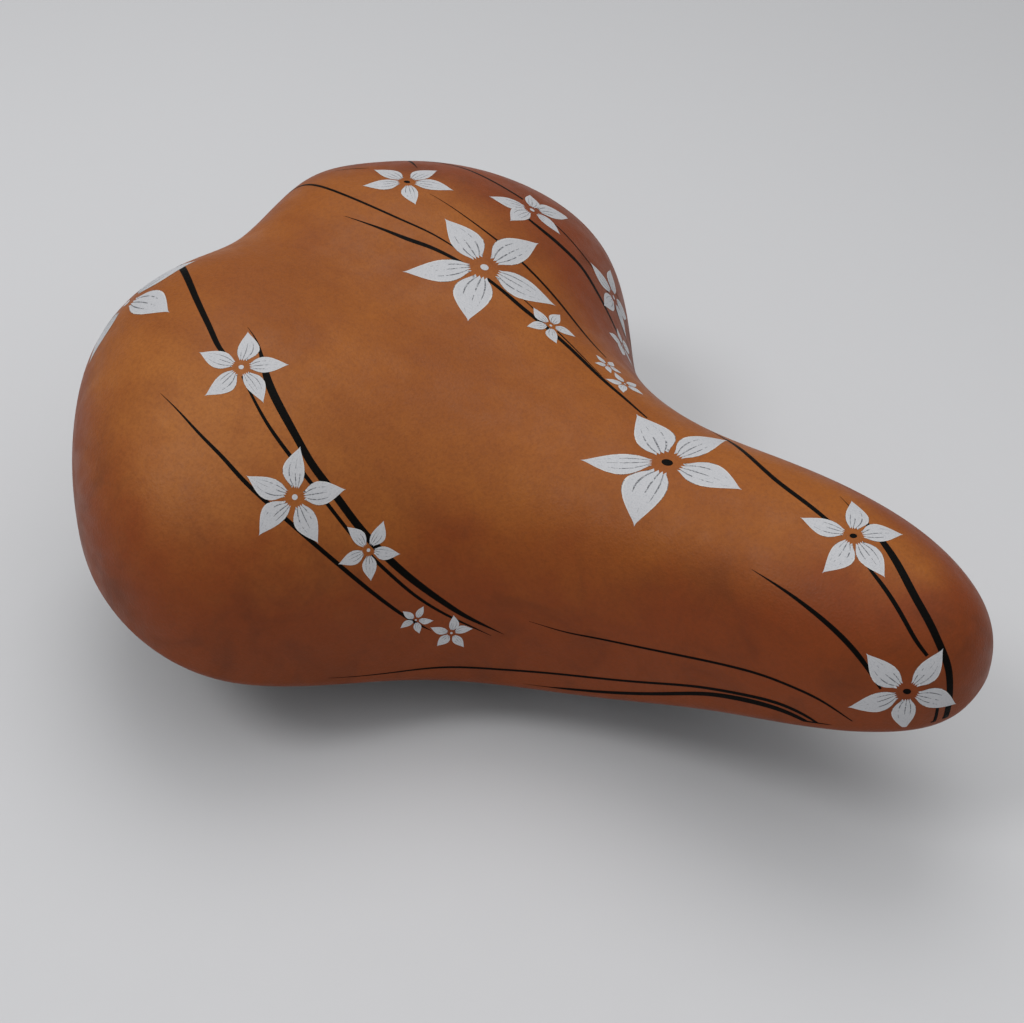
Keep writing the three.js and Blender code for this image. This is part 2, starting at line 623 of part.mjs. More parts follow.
function clamp() {
  const group = new THREE.Group();
  group.position.set(CLAMP_X, 0, BOLT_Z);
  const head = hexagon(0, 0, NUT_Y, NUT_Y + HEAD_HEIGHT);
  const shank = rod([0, 0, -BOLT_END_Y], [0, 0, NUT_Y + 1], BOLT_DIAMETER / 2, 16);
  const sleeve = part("post_sleeve", sleeveGeometry(), BLACK_STEEL());
  sleeve.rotation.y = Math.PI / 2; // stored with its mouth turned to the rear
  group.add(
    clampSide(1, "left"),
    clampSide(-1, "right"),
    part("clamp_bolt", geometryOf(layAlongY(head.add(shank))), ZINC()),
    part("clamp_nut", geometryOf(layAlongY(hexNut(0, 0, -NUT_Y - NUT_HEIGHT))), ZINC()),
    sleeve,
  );
  return group;
}

const saddle = new THREE.Group();
saddle.add(seat());
saddle.add(part("rail_frame", wire(railRoute(), RAIL_DIAMETER, 80, 8), CHROME()));
saddle.add(part("rear_yoke", yokeGeometry(), BLACK_STEEL()));
saddle.add(springUnit(1, "left"), springUnit(-1, "right"));
saddle.add(clamp());

export default saddle;
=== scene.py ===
"""Looks for the sprung city saddle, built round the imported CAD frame. Lengths are in millimetres until a
mesh is made, in the frame's own axes: +X to the nose, +Y to the rider's left, +Z up."""

import math

import bmesh
import bpy
import numpy as np
from mathutils import Matrix, Vector
from mathutils.bvhtree import BVHTree


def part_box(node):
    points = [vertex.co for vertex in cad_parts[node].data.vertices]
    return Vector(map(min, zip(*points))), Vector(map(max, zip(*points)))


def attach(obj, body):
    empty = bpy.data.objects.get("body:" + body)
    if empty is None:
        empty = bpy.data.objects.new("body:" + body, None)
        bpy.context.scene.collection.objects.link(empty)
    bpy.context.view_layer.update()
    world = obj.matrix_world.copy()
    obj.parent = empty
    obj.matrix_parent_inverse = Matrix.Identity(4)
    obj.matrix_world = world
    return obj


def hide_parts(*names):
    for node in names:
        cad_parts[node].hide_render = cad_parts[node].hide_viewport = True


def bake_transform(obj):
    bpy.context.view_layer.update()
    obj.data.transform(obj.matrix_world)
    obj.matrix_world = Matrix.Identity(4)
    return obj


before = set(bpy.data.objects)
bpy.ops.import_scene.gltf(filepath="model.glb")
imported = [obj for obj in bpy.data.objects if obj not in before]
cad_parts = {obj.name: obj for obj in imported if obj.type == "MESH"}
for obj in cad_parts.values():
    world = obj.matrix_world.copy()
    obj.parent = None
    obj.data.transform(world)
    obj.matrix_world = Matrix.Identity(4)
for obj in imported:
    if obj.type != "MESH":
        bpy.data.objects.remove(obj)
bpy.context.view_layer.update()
MM = 0.001
GAP = 0.3  # between pieces that touch, as in the CAD


def cad_box(node):
    low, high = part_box(node)
    return np.array(low) / MM, np.array(high) / MM


# ---- materials
class Finish:
    """A Principled material and short ways to add nodes to it, all in object space."""

    def __init__(self, name, **sockets):
        self.material = bpy.data.materials.new(name)
        self.material.use_nodes = True
        self.tree = self.material.node_tree
        self.shader = self.tree.nodes["Principled BSDF"]
        for key, value in sockets.items():
            self.shader.inputs[key.replace("_", " ")].default_value = value
        self.place = self.add("TexCoord").outputs["Object"]

    def add(self, kind, feeds=None, **settings):
        node = self.tree.nodes.new("ShaderNode" + kind)
        for key, value in settings.items():
            setattr(node, key, value)
        for key, value in (feeds or {}).items():
            self.feed(node.inputs[key], value)
        return node

    def feed(self, socket, value):
        if isinstance(value, bpy.types.NodeSocket):
            self.tree.links.new(value, socket)
        else:
            socket.default_value = value

    def noise(self, grain, detail=2.0, roughness=0.5, stretch=None, distortion=0.0):
        """Noise with features about `grain` mm across."""
        place = self.place
        if stretch:
            place = self.add("Mapping", {"Vector": place, "Scale": stretch}).outputs["Vector"]
        feeds = {"Vector": place, "Scale": 1 / (grain * MM), "Detail": detail}
        feeds.update(Roughness=roughness, Distortion=distortion)
        return self.add("TexNoise", feeds).outputs["Fac"]

    def cells(self, grain):
        feeds = {"Vector": self.place, "Scale": 1 / (grain * MM)}
        return self.add("TexVoronoi", feeds).outputs["Distance"]

    def attribute(self, name):
        return self.add("Attribute", attribute_name=name).outputs["Fac"]

    def fit(self, value, low, high, to_low=0.0, to_high=1.0):
        feeds = {"Value": value, "From Min": low, "From Max": high, "To Min": to_low, "To Max": to_high}
        return self.add("MapRange", feeds, interpolation_type="SMOOTHSTEP").outputs["Result"]

    def math(self, operation, a, b=0.0):
        return self.add("Math", {0: a, 1: b}, operation=operation).outputs[0]

    def mix(self, share, a, b):
        node = self.add("Mix", data_type="RGBA")
        for socket, value in ((node.inputs[0], share), (node.inputs[6], a), (node.inputs[7], b)):
            self.feed(socket, (*value, 1) if isinstance(value, tuple) else value)
        return node.outputs[2]

    def bump(self, height, depth, normal=None):
        """Bump of `depth` mm for a height from 0 to 1."""
        feeds = {"Height": height, "Distance": depth * MM}
        if normal:
            feeds["Normal"] = normal
        return self.add("Bump", feeds).outputs["Normal"]

    def set(self, socket, value):
        self.feed(self.shader.inputs[socket], value)

    def rough(self, low, high, *noise):
        """Roughness that wanders between two values with a noise."""
        self.set("Roughness", self.fit(self.noise(*noise), 0.3, 0.7, low, high))


def hide_grain(finish):
    """The fine grain moulded into the cover: rounded pebbles and shallow creases between them."""
    pebbles = finish.fit(finish.cells(0.75), 0.1, 0.75, 1, 0)
    creases = finish.noise(0.4, 2, 0.65)
    normal = finish.bump(finish.noise(14, 2), 0.06)
    normal = finish.bump(pebbles, 0.03, normal)
    return finish.bump(creases, 0.045, normal)


def leather_finish():
    """Tan on top with cloudy patches, stains and faint streaks, a painted highlight that makes the rider's
    right flank paler, and darker and redder where the `low` attribute is high, partly a burnished dye and
    partly painted shade."""
    f = Finish("burnished_hide", IOR=1.48, Specular_IOR_Level=0.2)
    clouds = f.fit(f.noise(46, 4, 0.6, distortion=0.4), 0.36, 0.66)
    tan = f.mix(clouds, (0.325, 0.097, 0.0125), (0.268, 0.073, 0.009))
    # Painted highlight: the rider's right flank, which faces the window lamp, is mixed towards a paler tan.
    flank_highlight = f.fit(f.add("SeparateXYZ", {"Vector": f.place}).outputs[1], -0.08, -0.03, 0.6, 0)
    tan = f.mix(flank_highlight, tan, (0.42, 0.15, 0.03))
    stains = f.fit(f.noise(21, 5, 0.62, distortion=0.7), 0.44, 0.76)
    tan = f.mix(f.math("MULTIPLY", stains, 0.3), tan, (0.2, 0.045, 0.01))
    streaks = f.fit(f.noise(15, 4, 0.6, stretch=(0.35, 1, 1)), 0.42, 0.7, 0, 0.3)
    tan = f.mix(streaks, tan, (0.21, 0.053, 0.008))
    ragged = f.math("MULTIPLY", f.math("SUBTRACT", f.noise(34, 4, 0.65), 0.5), 0.5)
    # Partly a burnished dye and partly painted shade: the sides darken and redden towards the rim and on the
    # left flank.
    low = f.fit(f.math("ADD", f.attribute("low"), ragged), 0.46, 0.9)
    burnish_and_shade = f.mix(stains, (0.205, 0.039, 0.007), (0.138, 0.028, 0.0065))
    colour = f.mix(f.math("MULTIPLY", low, 0.95), tan, burnish_and_shade)
    fleck = f.fit(f.noise(1.1, 3, 0.7), 0.35, 0.75, 0, 0.3)
    colour = f.mix(fleck, colour, (0.13, 0.034, 0.007))
    f.set("Base Color", colour)
    f.rough(0.42, 0.54, 6, 3)
    f.set("Normal", hide_grain(f))
    return f.material


def white_ink_finish():
    """Worn pale ink with dark veins that fan out from the petal's foot; U runs along the petal."""
    f = Finish("white_ink", IOR=1.48, Specular_IOR_Level=0.4)
    place = f.add("UVMap", uv_map="petal").outputs["UV"]
    along, across = f.add("SeparateXYZ", {"Vector": place}).outputs[:2]
    line = f.math("PINGPONG", f.math("MULTIPLY", across, 4), 0.5)
    width = f.fit(along, 0.0, 0.7, 0.15, 0.035)
    vein = f.fit(f.math("DIVIDE", line, width), 0.6, 1.0, 1, 0)
    reach = f.fit(f.noise(2.2, 2, 0.6), 0.3, 0.7, 0.12, 0.95)
    vein = f.math("MULTIPLY", vein, f.fit(f.math("SUBTRACT", reach, along), -0.04, 0.06))
    breaks = f.fit(f.noise(0.5, 1), 0.42, 0.5)
    vein = f.math("MULTIPLY", vein, f.math("ADD", f.math("MULTIPLY", breaks, 0.5), 0.4))
    speck = f.fit(f.noise(0.42, 2, 0.8), 0.5, 0.68, 0, 0.5)
    colour = f.mix(speck, (0.49, 0.49, 0.505), (0.32, 0.34, 0.37))
    edge = f.fit(f.math("ABSOLUTE", f.math("SUBTRACT", across, 0.5)), 0.43, 0.49)
    colour = f.mix(edge, colour, (0.57, 0.56, 0.545))
    f.set("Base Color", f.mix(vein, colour, (0.07, 0.075, 0.085)))
    f.rough(0.45, 0.6, 0.6, 1)
    f.set("Normal", hide_grain(f))
    return f.material


def dark_ink_finish():
    f = Finish("dark_ink", IOR=1.45, Specular_IOR_Level=0.05)
    f.set("Base Color", f.mix(f.noise(0.7, 2), (0.0015, 0.0015, 0.001), (0.004, 0.003, 0.0025)))
    f.rough(0.42, 0.55, 0.6, 1)
    f.set("Normal", hide_grain(f))
    return f.material


def foam_finish():
    f = Finish("foam", Specular_IOR_Level=0.2)
    f.set("Base Color", f.mix(f.noise(8, 3), (0.72, 0.6, 0.3), (0.6, 0.47, 0.2)))
    f.rough(0.9, 1, 1)
    f.set("Normal", f.bump(f.cells(0.7), 0.2))
    return f.material


def floor_finish():
    f = Finish("floor_card", Specular_IOR_Level=0.3)
    # Painted shade: the floor grows darker away from a spot near the saddle, standing in for the lamps'
    # falloff.
    falloff_distance = f.add("VectorMath", {0: f.place, 1: (-0.1, -0.25, 0)}, operation="DISTANCE").outputs["Value"]
    far = f.fit(falloff_distance, 0.3, 0.9)
    f.set("Base Color", f.mix(far, (0.57, 0.57, 0.58), (0.43, 0.43, 0.438)))
    f.rough(0.6, 0.7, 15)
    return f.material


# ---- meshes
def add_object(name, data):
    made = bpy.data.objects.new(name, data)
    bpy.context.scene.collection.objects.link(made)
    return made


def piece(name, points, faces, material, body=None, stands_for=()):
    """A mesh object from points in mm; it rides on a body and stands for its CAD nodes."""
    mesh = bpy.data.meshes.new(name)
    mesh.from_pydata((np.asarray(points, float) * MM).tolist(), [], [list(map(int, f)) for f in faces])
    mesh.update()
    mesh.materials.append(material)
    mesh.shade_smooth()
    made = add_object(name, mesh)
    if body:
        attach(made, body)
    if stands_for:
        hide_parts(*stands_for)
    return made


def grid_faces(rows, columns, wrap=False, start=0):
    """Quads between the rows of a grid, with the columns closed into a ring if wrap is set."""
    index = start + np.arange(rows * columns).reshape(rows, columns)
    following = np.roll(index, -1, axis=1) if wrap else index[:, 1:]
    index = index if wrap else index[:, :-1]
    corners = [index[:-1], following[:-1], following[1:], index[1:]]
    return np.stack(corners, -1).reshape(-1, 4)


# ---- the saddle's skin
COVER_LOW, COVER_HIGH = cad_box("cover")
LENGTH = COVER_HIGH[0] - COVER_LOW[0]
WIDTH = COVER_HIGH[1] - COVER_LOW[1]
SEAT_Z = cad_box("spring_cup_upper_left")[1][2] + GAP

# Half ribs from the rear centre round the left side to the nose tip, as in the CAD: the rim's place in
# plan, its height over SEAT_Z and where the rib's foot stands on the centre line.
RIBS = np.array([
    (-127.5, 0, -2, -77), (-138, 46.5, 1.5, -77), (-126.5, 71, -6.5, -75), (-87, 108.5, -6.5, -70),
    (-39, 109.5, -19.5, -63), (-10, 56, -33, -47), (35, 37.5, -32, 5), (71, 34.5, -14, 59),
    (106, 32, -3.5, 91), (131.5, 16, -1, 106), (134.5, 0, 3.5, 109),
])
CROWN = np.array([55, 52.5, 47, 42.5, 35, 31.5, 37, 34, 28])  # heights from the rear to the nose
HALF = len(RIBS) - 1
COVER_THICKNESS, PAD_EDGE, BASE_WALL = 1.2, 3.0, 2.5
PAD_REAR, PAD_NOSE = 30, 18  # the pad's depth under the crown
PAD_INSET = COVER_THICKNESS + GAP
BASE_INSET = PAD_INSET + PAD_EDGE + GAP
HEM_INSET = BASE_INSET + BASE_WALL + GAP
ROLL = (HEM_INSET + COVER_THICKNESS) / 2


def spline(at, u):
    """Uniform cubic B-spline through evenly spaced control values."""
    i = np.floor(u).astype(int)
    f = u - i
    weights = ((1 - f) ** 3, 3 * f**3 - 6 * f**2 + 4, -3 * f**3 + 3 * f**2 + 3 * f + 1, f**3)
    return sum(w * at(i - 1 + k) for k, w in enumerate(weights)) / 6


def open_spline(values, share):
    """The same through an open list, for a share from 0 to 1 of its length."""
    values = np.asarray(values, float)
    last = len(values) - 1

    def at(i):
        inside = values[np.clip(i, 0, last)]
        inside = np.where(i < 0, 2 * values[0] - values[1], inside)
        return np.where(i > last, 2 * values[last] - values[last - 1], inside)

    return spline(at, np.clip(last * np.asarray(share, float), 0, last - 1e-6))


def rib(column, t):
    """A column of RIBS at t, which counts ribs from the rear centre round the left side and back."""

    def at(i):
        turn = i % (2 * HALF)
        value = RIBS[np.where(turn <= HALF, turn, 2 * HALF - turn), column]
        return np.where(turn > HALF, -value, value) if column == 1 else value

    return spline(at, np.asarray(t, float))


STATIONS = np.linspace(0, HALF, 21)
REAR = rib(0, STATIONS).min()
SCALE_X = LENGTH / (rib(0, STATIONS).max() - REAR)
SCALE_Y = WIDTH / 2 / rib(1, STATIONS).max()


def plan(t):
    return (rib(0, t) - REAR) * SCALE_X - LENGTH / 2, rib(1, t) * SCALE_Y


def crown(x, y):
    """Height of the top: the centre line's curve, a swell over each sit bone and a shallow valley."""
    lobe = 4 * np.exp(-(((x + LENGTH / 2 - 53) / 36) ** 2) - ((np.abs(y) - 56) / 30) ** 2)
    valley = 3 * np.exp(-((y / 20) ** 2)) / (1 + np.exp((x - 13) / 20))
    return SEAT_Z + open_spline(CROWN, x / LENGTH + 0.5) + lobe - valley


def rim(t, inset):
    """Points round the rim at t, `inset` mm inside it."""
    x, y = plan(t)
    before, after = plan(t - 0.01), plan(t + 0.01)
    dx, dy = after[0] - before[0], after[1] - before[1]
    run = np.hypot(dx, dy)
    return np.stack([x + inset * dy / run, y - inset * dx / run, SEAT_Z + rib(2, t)], -1)


def skin(t, angle, inset, drop):
    """The point of rib t at an angle from the centre line (0) to the rim (90 degrees), `inset` mm inside
    the rim and drop(x) under the crown. The section is a superellipse, a little fuller at the rear."""
    power = 2.7 - 0.3 * np.clip((np.where(t > HALF, 2 * HALF - t, t) - 4) / 3, 0, 1)
    out = np.sin(angle) ** (2 / power)
    up = np.clip(np.cos(angle), 0, 1) ** (2 / power)
    edge = rim(t, inset)
    foot = (rib(3, t) - REAR) * SCALE_X - LENGTH / 2
    x, y = foot * (1 - out) + edge[..., 0] * out, edge[..., 1] * out
    top = crown(x, y) - (drop(x) if drop else 0)
    return np.stack([x, y, edge[..., 2] + (top - edge[..., 2]) * up], -1)


def around(count):
    """Even steps of t round the whole rim."""
    return np.arange(count) * 2 * HALF / count


def rings(count, angles, inset=0.0, drop=None):
    t = around(count)
    return [skin(t, np.full_like(t, angle), inset, drop) for angle in angles]


def pad_depth(x):
    return PAD_REAR - (PAD_REAR - PAD_NOSE) * (x / LENGTH + 0.5)


def base_drop(x):
    return PAD_INSET + pad_depth(x) + GAP


def even_angles(count):
    """Angles that step evenly along a rib's section instead of round its centre."""
    fine = np.linspace(0, np.pi / 2, 2000)
    out, up = 85 * np.sin(fine) ** 0.78, 48 * np.cos(fine).clip(0) ** 0.78
    run = np.concatenate([[0], np.cumsum(np.hypot(np.diff(out), np.diff(up)))])
    return np.interp(np.linspace(0, run[-1], count + 1), run, fine)


AROUND = 360  # points in a ring of the cover
ANGLES = even_angles(90)
COARSE = AROUND // 2  # and in a ring of the foam and the base


def ripple(t, seed):
    """Slow unevenness round the rim, from -1 to 1, the same on every run."""
    rng = np.random.default_rng(seed)
    waves = [(k, rng.uniform(0.4, 1) / k**0.5, rng.uniform(0, 6.28)) for k in (5, 8, 13, 21, 34, 47)]
    return sum(a * np.sin(k * np.pi * t / HALF + p) for k, a, p in waves) / 2.2


def turned_under(radius):
    """The cover's round turn under the skirt, from the outside in, with the slack that a fold leaves."""
    t = around(AROUND)
    loops = []
    for degrees in range(12, 180, 12):
        angle = math.radians(degrees)
        reach = radius + 0.22 * math.sin(angle) * ripple(t, 3)
        x, y, z = rim(t, ROLL - reach * math.cos(angle)).T
        loops.append(np.stack([x, y, z - reach * math.sin(angle)], -1))
    return loops


def hem(depth, gather):
    """The glued edge inside the base, from the rim up, with small gathers where it is drawn in."""
    t = around(AROUND)
    loops = []
    for share in np.linspace(0, 1, 7):
        fold = HEM_INSET + depth + gather * share * (1 + ripple(t * 3, 7))
        angle = np.full_like(t, math.radians(90 - 7 * share))
        loops.append(skin(t, angle, fold, lambda x: base_drop(x) + BASE_WALL + GAP + depth))
    return loops


def make_cover(material):
    """One closed sheet: the outside, its turn under the skirt, the hem, and back up on the inside."""
    loops = rings(AROUND, ANGLES) + turned_under(ROLL) + hem(COVER_THICKNESS, 0.5)
    loops += hem(0, 0)[::-1] + turned_under(ROLL - COVER_THICKNESS)[::-1]
    loops += rings(AROUND, ANGLES[::3], COVER_THICKNESS, lambda x: COVER_THICKNESS)[::-1]
    faces = grid_faces(len(loops), AROUND, wrap=True)
    made = piece("saddle_cover", np.concatenate(loops), faces, material, "seat", ["cover"])
    # `low` darkens the leather from the crown down to the rim, and more at the nose and the left flank: this
    # is partly a burnished dye and partly painted shade where the sides turn away from the lamps.
    low = np.ones(len(loops) * AROUND, np.float32)
    top = len(ANGLES) * AROUND
    low[:top] = np.repeat(np.linspace(0, 1, len(ANGLES)), AROUND)
    x, y, _ = np.concatenate(loops)[:top].T
    low[:top] += 0.1 / (1 + np.exp((30 - x) / 20)) + 0.34 / (1 + np.exp((85 - x) / 12))
    # Painted shade, partly: the left flank, which gets less of the lamps, is darkened more.
    low[:top] += 0.38 / (1 + np.exp((42 - y) / 8))
    made.data.attributes.new("low", "FLOAT", "POINT").data.foreach_set("value", low)


LEATHER = leather_finish()
WHITE_INK, DARK_INK = white_ink_finish(), dark_ink_finish()
make_cover(LEATHER)

# ---- the print on the cover
TOP = np.concatenate(rings(AROUND, ANGLES))
SPINE = (-77.0, 105.0)  # the line inside the saddle that outward normals point away from
SURFACE = BVHTree.FromPolygons(TOP.tolist(), grid_faces(len(ANGLES), AROUND, wrap=True).tolist())


def on_skin(point):
    """The nearest point of the cover and its outward normal."""
    place, normal, _, _ = SURFACE.find_nearest(Vector(point))
    middle = Vector((min(max(place.x, SPINE[0]), SPINE[1]), 0, SEAT_Z - 10))
    return place, normal if normal.dot(place - middle) > 0 else -normal


def spread(centre, turn, reach):
    """Points of the skin at even distances from a centre along rays over it, the first ray at `turn`."""
    rays, steps = 60, 14
    place, normal = on_skin(centre)
    first = Vector((1, 0, 0)) - normal * normal.x
    first.normalize()
    second = normal.cross(first)
    table = np.zeros((rays + 1, steps + 1, 3))
    for i in range(rays):
        angle = turn + 2 * math.pi * i / rays
        heading = first * math.cos(angle) + second * math.sin(angle)
        at = place
        table[i, 0] = at
        for k in range(1, steps + 1):
            at, up = on_skin(at + heading * (reach / steps))
            heading = (heading - up * heading.dot(up)).normalized()
            table[i, k] = at
    table[rays] = table[0]
    return table


def look_up(table, reach, x, y):
    """Flat points round the centre carried on to the skin through the table."""
    rays, steps = table.shape[0] - 1, table.shape[1] - 1
    a = (np.arctan2(y, x) / (2 * np.pi) % 1) * rays
    r = np.clip(np.hypot(x, y) / reach * steps, 0, steps - 1e-6)
    i, k = np.floor(a).astype(int) % rays, np.floor(r).astype(int)
    fa, fr = (a - np.floor(a))[..., None], (r - k)[..., None]
    near = table[i, k] * (1 - fr) + table[i, k + 1] * fr
    far = table[i + 1, k] * (1 - fr) + table[i + 1, k + 1] * fr
    return near * (1 - fa) + far * fa


def lifted(points, height):
    spots = [on_skin(p) for p in points.reshape(-1, 3)]
    return np.array([place + normal * height for place, normal in spots])


# Shares of a flower's size: a petal's half width from its foot to its tip, where the petals start, the
# radius that stems leave bare and the reach of the table that carries the flower on to the skin.
PETAL_WIDTH = [0.085, 0.15, 0.19, 0.21, 0.213, 0.2, 0.172, 0.132, 0.088, 0.044, 0.0]
FOOT, BARE, TABLE_REACH = 0.17, 0.2, 1.15
PETAL_FILM, STEM_FILM = 0.05, 0.03  # heights over the cover
STEM_STEP = 1.1


class Print:
    """Collects flat shapes on the skin as one thin film."""

    def __init__(self, height):
        self.height = height
        self.points, self.faces, self.uvs = [], [], []
        self.count = 0

    def add(self, points, uv):
        rows, columns = points.shape[:2]
        self.faces.append(grid_faces(rows, columns, start=self.count))
        self.points.append(lifted(points, self.height))
        self.uvs.append(uv.reshape(-1, 2))
        self.count += rows * columns

    def make(self, name, material):
        made = piece(name, np.concatenate(self.points), np.concatenate(self.faces), material, "seat")
        layer = made.data.uv_layers.new(name="petal")
        corners = np.zeros(len(made.data.loops), int)
        made.data.loops.foreach_get("vertex_index", corners)
        layer.data.foreach_set("uv", np.concatenate(self.uvs)[corners].astype(np.float32).ravel())
        return made


def petal(size, bend, wide):
    """A pointed petal with a toothed foot, along +X from the flower's centre."""
    u, v = np.meshgrid(np.linspace(0, 1, 30), np.linspace(-1, 1, 9), indexing="ij")
    tooth = np.where(np.arange(9) % 2 == 0, 0.05, 0.0) * (1 - u) ** 3
    r = FOOT + tooth + (1 - FOOT) * u
    half = np.minimum(wide * open_spline(PETAL_WIDTH, u), 0.7 * r) * (1 - u**14)
    half = np.where(u > 0.999, 0, half)
    y = v * half * np.where(v > 0, 1 + bend, 1 - bend) + bend * 0.25 * np.sin(np.pi * u)
    return size * r, size * y, np.stack([u, (v + 1) / 2], -1)


def disc(size, oval):
    a, r = np.meshgrid(np.linspace(0, 2 * np.pi, 25), np.linspace(0, 1, 4), indexing="ij")
    return size * oval * r * np.cos(a), size * r * np.sin(a), np.full((25, 4, 2), (0.9, 0.4))


def flower(white, dark, centre, size, turn, light_dot, seed):
    """Five petals round a bare ring with a dot in it."""
    rng = np.random.default_rng(seed)
    reach = size * TABLE_REACH
    table = spread(centre, math.radians(turn), reach)
    drawn = PETALS.get(seed, [(1, 0, 0, 0)] * 5)
    for k, (long, wide, bend, swing) in enumerate(drawn):
        x, y, uv = petal(size * long, bend or rng.uniform(-0.2, 0.2), wide or rng.uniform(0.95, 1.1))
        a = 2 * math.pi * k / 5 + math.radians(swing or rng.uniform(-3, 3))
        x, y = x * math.cos(a) - y * math.sin(a), x * math.sin(a) + y * math.cos(a)
        white.add(look_up(table, reach, x, y), uv)
    x, y, uv = disc(size * 0.055, 1.0 if light_dot else 1.3)
    (white if light_dot else dark).add(look_up(table, reach, x, y), uv)


def smooth_path(points):
    """A smooth path past points whose last number is the width there."""
    points = np.array(points, float)
    length = np.linalg.norm(np.diff(points[:, :3], axis=0), axis=1).sum()
    share = np.linspace(0, 1, max(6, int(length / STEM_STEP)))
    return np.stack([open_spline(column, share) for column in points.T], -1)


def bare_ring(point):
    """Whether a point lies in the ring that a flower leaves bare round its dot."""
    return any(np.linalg.norm(np.subtract(point, centre)) < BARE * size for centre, size, _, _ in FLOWERS)


def stem(dark, points):
    """A stroke over the skin through (x, y, z, width), which stops at the flowers' bare rings."""
    run = []
    for spot in smooth_path(points):
        if bare_ring(spot[:3]):
            stroke(dark, run)
            run = []
        else:
            run.append(spot)
    stroke(dark, run)


def stroke(dark, path):
    if len(path) < 3:
        return
    path = np.array(path)
    places, normals = map(np.array, zip(*[on_skin(p[:3]) for p in path]))
    along = np.gradient(places, axis=0)
    side = np.cross(normals, along)
    side /= np.linalg.norm(side, axis=1)[:, None]
    across = np.linspace(-0.5, 0.5, 5)
    width = np.clip(path[:, 3], 0, None)
    sheet = places[:, None] + side[:, None] * (across[:, None] * width[:, None, None])
    dark.add(sheet, np.ones((len(path), 5, 2)))


# Flowers as (centre, size, turn of the first petal, light dot). The seat's two sides carry different
# sprays, and the nose has three flowers with dark dots.
FLOWERS = [
    ((-69, -55, 102), 13, 47, True), ((-38, -71, 83), 14, 44, True), ((-20, -63, 68), 9, 12, True),
    ((-7, -59, 46), 5, 0, True), ((1, -53, 41), 6.3, 18, True), ((-122.2, -45, 94.6), 24, -4, True),
    ((-87, 42.5, 106), 14, 24, False), ((-56, 66.3, 95.7), 15, 0, True), ((-47, 28, 99), 23, 15, True),
    ((-20.5, 24.4, 91.3), 8.2, 28, True), ((-27.3, 71.9, 71.4), 14, 5, True),
    ((-13, 54.9, 69), 8.5, 24, True), ((-1.1, 25.8, 85), 5, 28, True), ((7.7, 21.3, 84.9), 6.3, 7, True),
    ((37, -4, 88), 23.2, -1, False), ((92, -2, 90), 14.5, 48, False), ((121, -21, 66), 15, -3, False),
    ((112, 26, 62), 14, 20, False), ((-134, 20, 78), 12, 10, True),
]

# Petals drawn out one by one, by the flower's place in the list: length, width, bend and swing in degrees.
# In every other flower the width, bend and swing are left to chance, which 0 stands for.
PETALS = {
    5: [(1, 1, 0.1, 1), (1, 1, 0.1, 1), (1, 1, 0.1, -6), (0.95, 0.95, 0.1, -14), (0.88, 0.85, -0.1, -21)],
    6: [(1.05, 1, 0.1, 4), (1, 1, 0.1, -12), (1, 1, -0.1, 8), (1, 1, 0.1, -12), (0.88, 1, -0.1, 8)],
    7: [(0.8, 1, 0.1, 8), (1.25, 0.95, 0.1, 1), (0.8, 1.1, -0.1, -16), (1, 1, 0.1, 10),
        (0.95, 1, -0.1, -12)],
    8: [(1.05, 1, -0.1, 1), (1.12, 0.95, 0.1, -5), (0.98, 1.1, -0.1, 1), (1.08, 0.85, 0.1, -3),
        (1.03, 1.15, -0.1, -8)],
    11: [(0.95, 1, 0.1, -9), (1.3, 1, 0.1, 3), (0.85, 1.1, -0.1, -1), (1.15, 1, 0.1, 18),
        (1.2, 1, -0.1, -5)],
    14: [(1, 1, 0.1, 1), (0.97, 1, 0.1, 1), (0.97, 1.2, -0.1, 1), (1.02, 0.72, 0.1, -6),
        (0.94, 1.35, -0.15, -12)],
    16: [(1.05, 0.95, 0.1, -9), (0.97, 1, -0.1, -5), (1, 1.05, 0.1, 8), (1.06, 0.9, 0.1, 3),
        (0.9, 1.1, -0.1, 1)],
}

